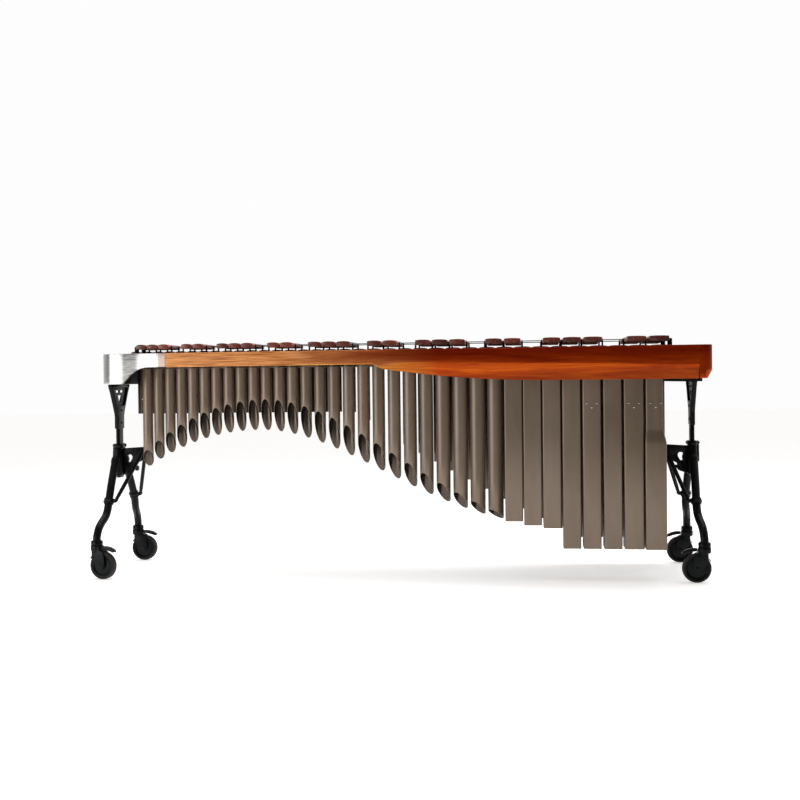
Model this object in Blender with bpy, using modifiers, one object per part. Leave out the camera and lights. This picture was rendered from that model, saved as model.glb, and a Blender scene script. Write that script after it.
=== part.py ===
"""Five-octave concert marimba on a height-adjustable wheeled stand.

The high end is at -X, the low end at +X, the audience side is -Y and the player's side is +Y.
The origin is on the floor below the middle of the instrument. Members are counted from the high end.
"""

import math

import bmesh
import bpy
from mathutils import Matrix, Vector

# ---------------------------------------------------------------- driving dimensions (metres)
GAP = 0.0003
LENGTH = 2.732
HALF_LENGTH = LENGTH / 2
HALF_DEPTH_HIGH = 0.216
HALF_DEPTH_LOW = 0.537
RAIL_TOP = 1.025
END_BOTTOM = 0.885
SLIM_BOTTOM = 0.961

FASCIA_THICK = 0.022
FASCIA_START = -1.040
FASCIA_END = 1.310
KINK_START = -0.075
KINK_END = -0.030
SWEEP_LENGTH = 0.730
FACET_TOP_START = 0.967
FACET_TOP_END = 0.940
FACET_INSET = 0.034
SWEEP_RISE = 0.056
FACET_MINIMUM = 0.010

COVER_THICK = 0.008
COVER_RADIUS = 0.085
COVER_END = FASCIA_START - 0.0014
ARCH_START = -1.248
ARCH_LENGTH = 0.120
BOARD_THICK = 0.022
BOARD_RADIUS = 0.038

HIGH_BEAM_INNER = -1.300
HIGH_BEAM_HALF_OUTER, HIGH_BEAM_HALF_INNER = 0.120, 0.190
LOW_BEAM_INNER = 1.250
LOW_BEAM_SEAT = 1.330
BEAM_TOP = 0.985
LOW_BEAM_BOTTOM = 0.872
LOW_BEAM_HALF = 0.464

NATURALS = 36
MEMBERS = 34
MEMBER_ONE_X = -1.172
PITCH_HIGH = 0.0545
PITCH_LOW = 0.0940
PITCH_POWER = 1.47
BAR_GAP_SHARE = 0.135
OCTAVE_STEPS = (0, 1, 3, 5, 7, 8, 10)
TOP_NOTE_HZ = 2093.0
SOUND_SPEED = 343.0

BAR_SETBACK = 0.045
ACCIDENTAL_HIGH_LENGTH = 0.190
ACCIDENTAL_LOW_LENGTH = 0.475
OVERLAP_HIGH = 0.018
OVERLAP_LOW = 0.058
NODE_SHARE = 0.224
UNDERSIDE_SHARES = (0.30, 0.42, 0.58, 0.70)
UNDERSIDE_DEPTHS = (0.0, 1.0, 1.0, 0.0)
NATURAL_BOTTOM, NATURAL_TOP = 1.016, 1.040
ACCIDENTAL_BOTTOM, ACCIDENTAL_TOP = 1.0445, 1.067
ARCH_DEPTH_HIGH, ARCH_DEPTH_LOW = 0.004, 0.013
CORD_RADIUS = 0.002

SUPPORT_WIDTH = 0.020
SUPPORT_HEIGHT = 0.045
NATURAL_SUPPORT_TOP = 1.004
ACCIDENTAL_SUPPORT_TOP = 1.024
POST_SIZE = 0.004
POST_OFFSET = 0.006
POST_SINK = 0.010
POST_BELOW_BAR_TOP = 0.004

TUBE_HIGH_DIAMETER = 0.0475
TUBE_DIAMETER_GROWTH = 0.0225
TUBE_DIAMETER_POWER = 2.6
TUBE_WALL = 0.0016
TUBE_SIDES = 8
ROUND_MEMBERS = 26
BOX_WIDTH = 0.079
BOX_DEPTH = 0.130
BOX_WALL = 0.002
STOPPER = 0.004
POCKET_OVERSHOOT = 0.010
END_CORRECTION = 0.6
STOPPER_CLEARANCE = 0.020
ARCH_PEAK = 0.665
ARCH_PEAK_MEMBER = 10.5
ARCH_RISE = 0.00184
ARCH_FALL = 0.430
ARCH_FALL_MEMBERS = 18.5
CUT_DROP = 0.152
CUT_DROP_MEMBER = 13.5
CUT_DROP_LOSS_HIGH = 0.00047
CUT_DROP_LOSS_LOW = 0.00068
CUT_TURN_HIGH = math.radians(-5.0)
CUT_TURN_LOW = math.radians(49.0)
CUT_TURN_POWER = 1.8
FRONT_TUBE_TOP = 1.028
REAR_TUBE_TOP = 1.000
REAR_FLAT_BOTTOM = 0.742
REAR_FLAT_END = -0.250
REAR_SLOPE = 0.560
LONG_BOX_BOTTOM = 0.141
SHORT_BOX_BOTTOMS = {27: 0.259, 28: 0.242, 29: 0.230}
SHOULDER_TOP, SHOULDER_BOTTOM = 0.670, 0.600
NEXT_LOWEST_HALF = 0.0425
LOWEST_NECK = (0.042, 0.033, BOX_DEPTH / 2)
LOWEST_BODY = (0.046, 0.045, 0.077)
BANK_ONE, BANK_TWO = 13, 26
PLATE_BOTTOM = 0.955
PLATE_THICK = 0.003
PLATE_MARGIN = 0.010

COLUMN_X = 1.345
YOKE_THICK = 0.021
YOKE_HALF = 0.1225
SOCKET_HALF = 0.040
SOCKET_TOP = 0.734
SOCKET_BOTTOM = 0.673
COLUMN_DEPTH, COLUMN_WIDTH = 0.063, 0.019
COLUMN_BOTTOM = 0.440
COLLAR_TOP = 0.602
HUB_TOP = 0.582
HUB_BOTTOM = 0.450
HUB_DEPTH, HUB_WIDTH = 0.084, 0.040
COLLAR_DEPTH, COLLAR_WIDTH = 0.090, 0.044
GUSSET_THICK = 0.024
LEG_RADIUS = 0.018
CLAMP_RADIUS = 0.023
CLAMP_HALF = 0.013
STRUT_RADIUS = 0.009
STRUT_GAP = 0.0015
STRUT_START = (0.118, 0.0205, 0.560)
LEVER_PIVOT_Z = 0.592
LEVER_THICK = 0.009
KNOB_IN, KNOB_Z = 0.066, 0.483
KNOB_NECK_RADIUS, KNOB_RADIUS = 0.008, 0.013
KNOB_NECK_END, KNOB_HEAD_START, KNOB_END = 0.012, 0.010, 0.026

WHEEL_RADIUS = 0.0625
WHEEL_WIDTH = 0.034
AXLE_RADIUS = 0.005
TRAIL = 0.034
CASTER_TOP = 0.155
HOUSING_RADIUS = 0.0285
HOUSING_BOTTOM = 0.088
CHEEK_THICK = 0.005
WHEEL_PLAY = 0.0015
WELL_PLAY = 0.003
PEDAL_PIVOT = (0.035, 0.143)
PEDAL_WIDTH = 0.028
FOOT_Y = 0.297
FOOT_OUT = 0.0125
HIGH_FRONT_SWIVEL = math.radians(-15.0)


# ---------------------------------------------------------------- layout rules
def half_depth(x):
    """Half of the frame's depth at a place along its length."""
    share = (x + HALF_LENGTH) / LENGTH
    return HALF_DEPTH_HIGH + (HALF_DEPTH_LOW - HALF_DEPTH_HIGH) * share


def member_x(s):
    """X of member s; naturals lie at half steps between the members of the front bank."""
    grown = max(s - 1.0, 0.0)
    span = MEMBERS - 1
    growth = (PITCH_LOW - PITCH_HIGH) * grown ** (PITCH_POWER + 1) / ((PITCH_POWER + 1) * span**PITCH_POWER)
    return MEMBER_ONE_X + PITCH_HIGH * (s - 1.0) + growth


def pitch(s):
    return member_x(s + 0.5) - member_x(s - 0.5)


def natural_x(i):
    return member_x(i - 0.5)


def semitones_down(i):
    octave, step = divmod(i, len(OCTAVE_STEPS))
    return 12 * octave + OCTAVE_STEPS[step]


def has_accidental(k):
    """True where a bar lies above front member k, which stands between naturals k and k + 1."""
    return semitones_down(k + 1) - semitones_down(k) == 2


def acoustic_depth(semitones, radius):
    """Quarter wavelength of the note, less the end correction."""
    frequency = TOP_NOTE_HZ * 2.0 ** (-semitones / 12.0)
    return SOUND_SPEED / (4.0 * frequency) - END_CORRECTION * radius


def low_share(x):
    return (x - member_x(1)) / (member_x(MEMBERS) - member_x(1))


def accidental_span(x):
    """Audience-side and player-side ends of an accidental bar at x."""
    front = -half_depth(x) + BAR_SETBACK
    length = ACCIDENTAL_HIGH_LENGTH + (ACCIDENTAL_LOW_LENGTH - ACCIDENTAL_HIGH_LENGTH) * low_share(x)
    return front, front + length


def natural_span(x):
    overlap = OVERLAP_HIGH + (OVERLAP_LOW - OVERLAP_HIGH) * low_share(x)
    return accidental_span(x)[1] - overlap, half_depth(x) - BAR_SETBACK


def node_line(span, x, end):
    front, rear = span(x)
    inset = NODE_SHARE * (rear - front)
    return front + inset if end == "front" else rear - inset


def middle(span, x):
    return sum(span(x)) / 2.0


def tube_diameter(s):
    share = min(max((s - 1.0) / (ROUND_MEMBERS - 1.0), 0.0), 1.0)
    return TUBE_HIGH_DIAMETER + TUBE_DIAMETER_GROWTH * share**TUBE_DIAMETER_POWER


# ---------------------------------------------------------------- Blender helpers
def clear_scene():
    for old in list(bpy.data.objects):
        bpy.data.objects.remove(old, do_unlink=True)


def make_collection(name):
    made = bpy.data.collections.new(name)
    bpy.context.scene.collection.children.link(made)
    return made


def make_material(name, colour, roughness, metallic=0.0):
    made = bpy.data.materials.new(name)
    made.use_nodes = True
    shader = made.node_tree.nodes["Principled BSDF"]
    shader.inputs["Base Color"].default_value = (*colour, 1.0)
    shader.inputs["Roughness"].default_value = roughness
    shader.inputs["Metallic"].default_value = metallic
    return made


def add_object(name, mesh, material, collection=None, location=(0, 0, 0)):
    made = bpy.data.objects.new(name, mesh)
    made.location = location
    (collection or PARTS).objects.link(made)
    if material is not None:
        mesh.materials.clear()
        mesh.materials.append(material)
    return made


def to_mesh(name, bm):
    mesh = bpy.data.meshes.new(name)
    bmesh.ops.recalc_face_normals(bm, faces=bm.faces)
    bm.to_mesh(mesh)
    bm.free()
    return mesh


def add_box(bm, low, high):
    """Adds a box between two corners to a bmesh."""
    size = [b - a for a, b in zip(low, high)]
    centre = [(a + b) / 2 for a, b in zip(low, high)]
    matrix = Matrix.Translation(centre) @ Matrix.Diagonal((*size, 1.0))
    bmesh.ops.create_cube(bm, size=1.0, matrix=matrix)


def add_cylinder(bm, start, end, radius, sides=16):
    """Adds a capped cylinder between two points to a bmesh."""
    start, end = Vector(start), Vector(end)
    turn = (end - start).to_track_quat("Z", "Y").to_matrix().to_4x4()
    matrix = Matrix.Translation((start + end) / 2) @ turn
    return bmesh.ops.create_cone(
        bm,
        cap_ends=True,
        segments=sides,
        radius1=radius,
        radius2=radius,
        depth=(end - start).length,
        matrix=matrix,
    )["verts"]


def flat_outline(name, rings, thickness, matrix):
    """Mesh of a 2D outline with holes, thickened both ways and placed by a matrix."""
    curve = bpy.data.curves.new(name, "CURVE")
    curve.dimensions = "2D"
    curve.fill_mode = "BOTH"
    curve.extrude = thickness / 2
    for ring in rings:
        spline = curve.splines.new("POLY")
        spline.points.add(len(ring) - 1)
        for point, (u, v) in zip(spline.points, ring):
            point.co = (u, v, 0.0, 1.0)
        spline.use_cyclic_u = True
    return curve_mesh(name, curve, matrix)


def tube_mesh(name, points, radius, resolution=2):
    """Mesh of a round tube with filled ends along a list of points."""
    curve = bpy.data.curves.new(name, "CURVE")
    curve.dimensions = "3D"
    curve.bevel_depth = radius
    curve.bevel_resolution = resolution
    curve.use_fill_caps = True
    spline = curve.splines.new("POLY")
    spline.points.add(len(points) - 1)
    for point, co in zip(spline.points, points):
        point.co = (*co, 1.0)
    return curve_mesh(name, curve, Matrix.Identity(4))


def curve_mesh(name, curve, matrix):
    holder = bpy.data.objects.new(name + "_curve", curve)
    bpy.context.scene.collection.objects.link(holder)
    depsgraph = bpy.context.evaluated_depsgraph_get()
    mesh = bpy.data.meshes.new_from_object(holder.evaluated_get(depsgraph))
    bpy.data.objects.remove(holder, do_unlink=True)
    bpy.data.curves.remove(curve)
    bm = bmesh.new()
    bm.from_mesh(mesh)
    bpy.data.meshes.remove(mesh)
    bmesh.ops.remove_doubles(bm, verts=bm.verts, dist=1e-5)
    bmesh.ops.transform(bm, matrix=matrix, verts=bm.verts)
    return to_mesh(name, bm)


def join_by(target, operation, mesh, label):
    """Unites another shape with an object, or cuts it away, with a live Boolean."""
    other = add_object(f"{target.name}_{label}", mesh, None, CUTTERS, target.location)
    other.display_type = "WIRE"
    other.hide_render = True
    step = target.modifiers.new(label, "BOOLEAN")
    step.operation = operation
    step.solver = "EXACT"
    step.object = other


def round_shading(thing, degrees=35.0):
    thing.data.shade_smooth()
    thing.data.set_sharp_from_angle(angle=math.radians(degrees))


def arc(centre, radius, start, end, steps):
    """Points on an arc, with the angles in degrees."""
    angles = [math.radians(start + (end - start) * i / steps) for i in range(steps + 1)]
    return [(centre[0] + radius * math.cos(a), centre[1] + radius * math.sin(a)) for a in angles]


def stadium(depth, width, steps=6):
    """Oval outline with round ends, centred on the origin, long along the second axis."""
    radius = width / 2
    reach = depth / 2 - radius
    return arc((0, reach), radius, 0, 180, steps) + arc((0, -reach), radius, 180, 360, steps)


def upright(centre_x, centre_y, low, high):
    """Places an outline that was drawn in plan, so that it stands between two heights."""
    return Matrix.Translation((centre_x, centre_y, (low + high) / 2))


def facing_y(y):
    """Stands an outline drawn as (x, z) upright in the X-Z plane at y."""
    return Matrix.Translation((0, y, 0)) @ Matrix.Rotation(math.radians(90), 4, "X")


def facing_x(x):
    """Stands an outline drawn as (y, z) upright in the Y-Z plane at x."""
    return Matrix.Translation((x, 0, 0)) @ Matrix(((0, 0, 1, 0), (1, 0, 0, 0), (0, 1, 0, 0), (0, 0, 0, 1)))


# ---------------------------------------------------------------- frame
def fascia_bottom(x):
    """Underside of the long boards: slim at the high end, then a step and a sweep downwards."""
    if x <= KINK_START:
        return SLIM_BOTTOM
    share = min(max((x - KINK_END) / SWEEP_LENGTH, 0.0), 1.0)
    return END_BOTTOM - 0.001 + SWEEP_RISE * (1.0 - share) ** 2


def fascia_section(x, side):
    """Corners of a long board's cross-section at x, as (y, z)."""
    share = min(max((x - KINK_END) / SWEEP_LENGTH, 0.0), 1.0)
    inset = FACET_INSET * (1.0 - (1.0 - share) ** 2)
    bottom = fascia_bottom(x)
    facet_share = max(x, 0.0) / FASCIA_END
    facet = FACET_TOP_START + (FACET_TOP_END - FACET_TOP_START) * facet_share
    facet = max(facet, bottom + FACET_MINIMUM)
    outer = half_depth(x)
    inner = outer - FASCIA_THICK
    corners = [
        (outer, RAIL_TOP),
        (outer, facet),
        (outer - inset, bottom),
        (inner - inset, bottom),
        (inner, facet),
        (inner, RAIL_TOP),
    ]
    return [(side * y, z) for y, z in corners]


def build_fascia(name, side):
    """Lofts one long wooden board through its cross-sections."""
    sweep_steps = 6
    stations = [FASCIA_START, KINK_START, KINK_END]
    stations += [KINK_END + SWEEP_LENGTH * (i + 1) / sweep_steps for i in range(sweep_steps)]
    stations.append(FASCIA_END)
    bm = bmesh.new()
    rings = [[bm.verts.new((x, y, z)) for y, z in fascia_section(x, side)] for x in stations]
    for first, second in zip(rings, rings[1:]):
        for i in range(len(first)):
            j = (i + 1) % len(first)
            bm.faces.new((first[i], first[j], second[j], second[i]))
    bm.faces.new(rings[0])
    bm.faces.new(reversed(rings[-1]))
    add_object(name, to_mesh(name, bm), WOOD)


def corner_path(end, radius, start_x, steps):
    """Plan path around one end of the frame, from one long side to the other.

    end is -1 at the high end and +1 at the low end; start_x is where the path leaves the long side.
    """
    slope = (HALF_DEPTH_LOW - HALF_DEPTH_HIGH) / LENGTH
    slant = math.hypot(1.0, slope)
    centre_x = end * (HALF_LENGTH - radius)
    centre_y = -half_depth(centre_x) + radius * slant
    side_angle = 180.0 + math.degrees(math.atan2(1.0, slope))
    end_angle = 180.0 if end < 0 else 360.0
    corner = arc((centre_x, centre_y), radius, side_angle, end_angle, steps)
    return_steps = 8
    tangent_x = corner[0][0]
    straight = [start_x + (tangent_x - start_x) * i / return_steps for i in range(return_steps)]
    front = [(x, -half_depth(x)) for x in straight] + corner
    return front + [(x, -y) for x, y in reversed(front)]


def build_end_shell(name, end, radius, start_x, thickness, bottom_at, material, steps):
    """Upright band around one end of the frame, thickened towards the inside."""
    path = corner_path(end, radius, start_x, steps)
    bm = bmesh.new()
    low = [bm.verts.new((x, y, bottom_at(x))) for x, y in path]
    high = [bm.verts.new((x, y, RAIL_TOP)) for x, y in path]
    for i in range(len(path) - 1):
        bm.faces.new((low[i], low[i + 1], high[i + 1], high[i]))
    mesh = bpy.data.meshes.new(name)
    bm.normal_update()
    bm.to_mesh(mesh)
    bm.free()
    shell = add_object(name, mesh, material)
    thicken = shell.modifiers.new("thickness", "SOLIDIFY")
    thicken.thickness = thickness
    thicken.offset = 1.0 if end < 0 else -1.0
    thicken.use_even_offset = True
    round_shading(shell)


def cover_bottom(x):
    """Underside of the metal end cover: low around the end, then an arch up to the slim boards."""
    share = min(max((x - ARCH_START) / ARCH_LENGTH, 0.0), 1.0)
    return END_BOTTOM + (SLIM_BOTTOM - END_BOTTOM) * (1.0 - (1.0 - share) ** 2)


def build_high_beam():
    """Cross beam inside the high end, with its corners cut back inside the rounded cover."""
    outer = -HALF_LENGTH + COVER_THICK + GAP
    outline = [
        (outer, -HIGH_BEAM_HALF_OUTER),
        (HIGH_BEAM_INNER, -HIGH_BEAM_HALF_INNER),
        (HIGH_BEAM_INNER, HIGH_BEAM_HALF_INNER),
        (outer, HIGH_BEAM_HALF_OUTER),
    ]
    height = BEAM_TOP - END_BOTTOM
    mesh = flat_outline("high_cross_beam", [outline], height, upright(0, 0, END_BOTTOM, BEAM_TOP))
    add_object("high_cross_beam", mesh, BLACK_METAL)


def build_low_beam():
    """Cross beam inside the low end, with a lower lip beside the yoke's seat."""
    outer = HALF_LENGTH - BOARD_THICK - GAP
    section = [
        (LOW_BEAM_INNER, LOW_BEAM_BOTTOM),
        (LOW_BEAM_SEAT, LOW_BEAM_BOTTOM),
        (LOW_BEAM_SEAT, END_BOTTOM),
        (outer, END_BOTTOM),
        (outer, BEAM_TOP),
        (LOW_BEAM_INNER, BEAM_TOP),
    ]
    mesh = flat_outline("low_cross_beam", [section], 2 * LOW_BEAM_HALF, facing_y(0))
    add_object("low_cross_beam", mesh, BLACK_METAL)


def accidental_post_places():
    """Posts beside every accidental; neighbours in a group share the post between them."""
    places = []
    for k in range(1, MEMBERS + 1):
        if not has_accidental(k):
            continue
        if not has_accidental(k - 1) or k == 1:
            places.append(k - 0.5)
        places.append(k + 0.5)
    return places


def build_support(name, span, end, top, places):
    """Straight rail under one node line of the bars, with the posts that carry the cord."""
    start, stop = HIGH_BEAM_INNER + GAP, LOW_BEAM_INNER - GAP
    start_y, stop_y = node_line(span, start, end), node_line(span, stop, end)
    half = SUPPORT_WIDTH / 2
    outline = [(start, start_y - half), (stop, stop_y - half), (stop, stop_y + half), (start, start_y + half)]
    bottom = top - SUPPORT_HEIGHT
    mesh = flat_outline(name, [outline], SUPPORT_HEIGHT, upright(0, 0, bottom, top))
    rail = add_object(name, mesh, BLACK_METAL)
    bar_top = ACCIDENTAL_TOP if span is accidental_span else NATURAL_TOP
    post_top = bar_top - POST_BELOW_BAR_TOP
    bm = bmesh.new()
    for s in places:
        x = member_x(s)
        y = start_y + (stop_y - start_y) * (x - start) / (stop - start) + POST_OFFSET
        size = POST_SIZE / 2
        add_box(bm, (x - size, y - size, top - POST_SINK), (x + size, y + size, post_top))
    join_by(rail, "UNION", to_mesh(name + "_posts", bm), "posts")


# ---------------------------------------------------------------- bars
def bar_profile(front, rear, bottom, top, arch):
    """Side view of a bar with the tuning arch cut out of its underside, as (y, z)."""
    length = rear - front
    under = [
        (front + length * share, bottom + arch * depth)
        for share, depth in zip(UNDERSIDE_SHARES, UNDERSIDE_DEPTHS)
    ]
    return [(front, bottom)] + under + [(rear, bottom), (rear, top), (front, top)]


def build_bars(name, places, span, bottom, top, limits):
    """One octave of bars on the two stretches of cord that run through them."""
    lines = []
    cord_z = (bottom + top) / 2
    start, stop = member_x(limits[0]) + GAP, member_x(limits[1]) - GAP
    rail_start, rail_stop = HIGH_BEAM_INNER + GAP, LOW_BEAM_INNER - GAP
    for end in ("front", "rear"):
        y_start, y_stop = node_line(span, rail_start, end), node_line(span, rail_stop, end)
        slope = (y_stop - y_start) / (rail_stop - rail_start)
        points = [(x, y_start + slope * (x - rail_start), cord_z) for x in (start, stop)]
        lines.append(points)
    bm = bmesh.new()
    for s in places:
        x = member_x(s)
        width = pitch(s) * (1.0 - BAR_GAP_SHARE)
        front, rear = span(x)
        arch = ARCH_DEPTH_HIGH + (ARCH_DEPTH_LOW - ARCH_DEPTH_HIGH) * low_share(x)
        profile = bar_profile(front, rear, bottom, top, arch)
        bar = flat_outline(name, [profile], width, facing_x(x))
        bm.from_mesh(bar)
        bpy.data.meshes.remove(bar)
    bars = add_object(name, to_mesh(name, bm), ROSEWOOD)
    for label, points in zip(("front_cord", "rear_cord"), lines):
        join_by(bars, "UNION", tube_mesh(name + label, points, CORD_RADIUS, 0), label)


def build_all_bars():
    sizes = (8, 7, 7, 7, 7)
    first = 0
    for octave, size in zip((6, 5, 4, 3, 2), sizes):
        last = first + size - 1
        places = [i - 0.5 for i in range(first, last + 1)]
        limits = (first - 1.0, last)
        build_bars(f"natural_bars_octave_{octave}", places, natural_span, NATURAL_BOTTOM, NATURAL_TOP, limits)
        members = [k for k in range(max(first, 1), last + 1) if has_accidental(k)]
        limits = (max(first - 0.5, 0.5), min(last + 0.5, MEMBERS + 0.5))
        build_bars(
            f"accidental_bars_octave_{octave}",
            members,
            accidental_span,
            ACCIDENTAL_BOTTOM,
            ACCIDENTAL_TOP,
            limits,
        )
        first = last + 1


# ---------------------------------------------------------------- resonators
def arch_tip(k):
    """Height of the lowest point of round front member k: the arch seen by the audience."""
    away = k - ARCH_PEAK_MEMBER
    if away < 0:
        return ARCH_PEAK - ARCH_RISE * away**2
    return ARCH_PEAK - ARCH_FALL * (1.0 - math.cos(math.pi * away / ARCH_FALL_MEMBERS)) / 2


def cut_drop(k):
    """How much lower the player's side of a slanted tube end is than its audience side."""
    away = k - CUT_DROP_MEMBER
    loss = CUT_DROP_LOSS_HIGH if away < 0 else CUT_DROP_LOSS_LOW
    return CUT_DROP - loss * away**2


def cut_direction(k):
    """Horizontal direction in which the slanted end runs down."""
    share = (k - 1) / (ROUND_MEMBERS - 1)
    angle = CUT_TURN_HIGH + (CUT_TURN_LOW - CUT_TURN_HIGH) * share**CUT_TURN_POWER
    return Vector((math.sin(angle), math.cos(angle), 0.0))


def slanted_tube(bm, centre, radius, low, high, drop, direction):
    """Upright cylinder whose lower end lies in a slanted plane."""
    verts = add_cylinder(bm, (*centre, low), (*centre, high), radius, TUBE_SIDES)
    for v in verts:
        if v.co.z < (low + high) / 2:
            along = (v.co - Vector((*centre, low))).dot(direction)
            v.co.z = low + drop * (radius - along) / (2 * radius)


def front_member(k, outer, pocket):
    """Adds front member k: its outside to one bmesh and its hollow spaces to the other."""
    x = member_x(k)
    centre = (x, middle(accidental_span, x))
    semitones = (semitones_down(k) + semitones_down(k + 1)) / 2
    if k > ROUND_MEMBERS:
        bottom = SHORT_BOX_BOTTOMS.get(k, LONG_BOX_BOTTOM)
        box_member(k, centre, bottom, FRONT_TUBE_TOP, outer, pocket)
        return
    radius = tube_diameter(k) / 2
    tip, drop, direction = arch_tip(k), cut_drop(k), cut_direction(k)
    slanted_tube(outer, centre, radius, tip, FRONT_TUBE_TOP, drop, direction)
    stop = FRONT_TUBE_TOP - acoustic_depth(semitones, radius)
    stop = max(stop, tip + drop + STOPPER_CLEARANCE)
    bore = radius - TUBE_WALL
    slope_drop = drop * bore / radius
    slanted_tube(pocket, centre, bore, stop, FRONT_TUBE_TOP + POCKET_OVERSHOOT, 0.0, direction)
    low = tip + (drop - slope_drop) / 2 - 2 * POCKET_OVERSHOOT
    slanted_tube(pocket, centre, bore, low, stop - STOPPER, slope_drop, direction)


def add_stack(bm, centre, levels):
    """Upright body with a rectangular section at each level: height, left, right and half depth."""
    rings = []
    for z, left, right, deep in levels:
        corners = [(-left, -deep), (right, -deep), (right, deep), (-left, deep)]
        rings.append([bm.verts.new((centre[0] + u, centre[1] + v, z)) for u, v in corners])
    for lower, upper in zip(rings, rings[1:]):
        for i in range(len(lower)):
            j = (i + 1) % len(lower)
            bm.faces.new((lower[i], lower[j], upper[j], upper[i]))
    bm.faces.new(list(reversed(rings[0])))
    bm.faces.new(rings[-1])


def box_member(k, centre, bottom, top, outer, pocket):
    """Rectangular low member; the lowest one widens below a shoulder."""
    x, y = centre
    half = NEXT_LOWEST_HALF if k == MEMBERS - 1 else BOX_WIDTH / 2
    neck = body = (half, half, BOX_DEPTH / 2)
    levels = [(bottom, *body), (top, *neck)]
    if k == MEMBERS:
        neck, body = LOWEST_NECK, LOWEST_BODY
        levels = [(bottom, *body), (SHOULDER_BOTTOM, *body), (SHOULDER_TOP, *neck), (top, *neck)]
    add_stack(outer, centre, levels)
    deep = BOX_DEPTH / 2 - BOX_WALL
    low = (x - neck[0] + BOX_WALL, y - deep, bottom + STOPPER)
    add_box(pocket, low, (x + neck[1] - BOX_WALL, y + deep, top + POCKET_OVERSHOOT))


def rear_member(i, outer, pocket):
    """Adds the resonator under natural i."""
    s = i - 0.5
    x = member_x(s)
    centre = (x, middle(natural_span, x))
    bottom = REAR_FLAT_BOTTOM - REAR_SLOPE * max(x - REAR_FLAT_END, 0.0)
    bottom = max(bottom, LONG_BOX_BOTTOM)
    if i > ROUND_MEMBERS:
        add_box(
            outer,
            (x - BOX_WIDTH / 2, centre[1] - BOX_DEPTH / 2, bottom),
            (x + BOX_WIDTH / 2, centre[1] + BOX_DEPTH / 2, REAR_TUBE_TOP),
        )
        inner, deep = BOX_WIDTH / 2 - BOX_WALL, BOX_DEPTH / 2 - BOX_WALL
        low = (x - inner, centre[1] - deep, bottom + STOPPER)
        add_box(pocket, low, (x + inner, centre[1] + deep, REAR_TUBE_TOP + POCKET_OVERSHOOT))
        return
    radius = tube_diameter(s) / 2
    add_cylinder(outer, (*centre, bottom), (*centre, REAR_TUBE_TOP), radius, TUBE_SIDES)
    stop = REAR_TUBE_TOP - acoustic_depth(semitones_down(i), radius)
    stop = max(stop, bottom + STOPPER)
    pocket_top = REAR_TUBE_TOP + POCKET_OVERSHOOT
    add_cylinder(pocket, (*centre, stop), (*centre, pocket_top), radius - TUBE_WALL, TUBE_SIDES)


def build_bank(name, counts, add_member, span, offset, limits):
    """One section of a resonator bank: members joined by the thin plate that they hang in."""
    outer, pocket = bmesh.new(), bmesh.new()
    for count in counts:
        add_member(count, outer, pocket)
    bank = add_object(name, to_mesh(name, outer), TAUPE_METAL)
    edge = []
    for x in limits:
        s = counts[0] - offset if x == limits[0] else counts[-1] - offset
        boxed = counts[-1] > ROUND_MEMBERS and x == limits[1]
        boxed = boxed or counts[0] > ROUND_MEMBERS
        half = PLATE_MARGIN + (BOX_DEPTH / 2 if boxed else tube_diameter(s) / 2)
        edge.append((x, middle(span, x), half))
    outline = [(x, y - h) for x, y, h in edge] + [(x, y + h) for x, y, h in reversed(edge)]
    top = PLATE_BOTTOM + PLATE_THICK
    mesh = flat_outline(name + "_plate", [outline], PLATE_THICK, upright(0, 0, PLATE_BOTTOM, top))
    join_by(bank, "UNION", mesh, "plate")
    join_by(bank, "DIFFERENCE", to_mesh(name + "_pocket", pocket), "pocket")


def build_banks():
    ends = (HIGH_BEAM_INNER + GAP, LOW_BEAM_INNER - GAP)
    splits = (BANK_ONE, BANK_TWO)
    cuts = [ends[0]] + [member_x(k + 0.5) for k in splits] + [ends[1]]
    groups = [range(1, BANK_ONE + 1), range(BANK_ONE + 1, BANK_TWO + 1), range(BANK_TWO + 1, MEMBERS + 1)]
    for label, group, low, high in zip(("high", "middle", "low"), groups, cuts, cuts[1:]):
        limits = (low + GAP / 2, high - GAP / 2)
        build_bank(f"front_resonators_{label}", list(group), front_member, accidental_span, 0.0, limits)
    cuts = [ends[0]] + [member_x(i) for i in splits] + [ends[1]]
    groups = [range(0, BANK_ONE + 1), range(BANK_ONE + 1, BANK_TWO + 1), range(BANK_TWO + 1, NATURALS)]
    for label, group, low, high in zip(("high", "middle", "low"), groups, cuts, cuts[1:]):
        limits = (low + GAP / 2, high - GAP / 2)
        build_bank(f"rear_resonators_{label}", list(group), rear_member, natural_span, 0.5, limits)


# ---------------------------------------------------------------- stand
def build_yoke(name, x):
    """Flat V-shaped bracket under the cross beam, with its lightening holes."""
    top = END_BOTTOM - GAP
    right = [
        (YOKE_HALF, top),
        (YOKE_HALF, 0.868),
        (0.106, 0.850),
        (0.064, 0.780),
        (0.046, 0.748),
        (SOCKET_HALF, SOCKET_TOP),
        (SOCKET_HALF, SOCKET_BOTTOM),
    ]
    outline = right + [(-y, z) for y, z in reversed(right)]
    slots = [
        arc((side * 0.031 + 0.0145, 0.851), 0.0055, -90, 90, 4)
        + arc((side * 0.031 - 0.0145, 0.851), 0.0055, 90, 270, 4)
        for side in (-1, 1)
    ]
    triangle = [(-0.026, 0.832), (0.0, 0.797), (0.026, 0.832)]
    mesh = flat_outline(name, [outline, *slots, triangle], YOKE_THICK, facing_x(x))
    add_object(name, mesh, BLACK_METAL)


def build_oval(name, x, outer, bore, low, high, material):
    """Upright oval tube, or an oval bar where there is no bore."""
    rings = [stadium(*outer)] + ([stadium(*bore)] if bore else [])
    mesh = flat_outline(name, rings, high - low, upright(0, 0, low, high))
    made = add_object(name, mesh, material)
    made.location.x = x
    round_shading(made)


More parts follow.
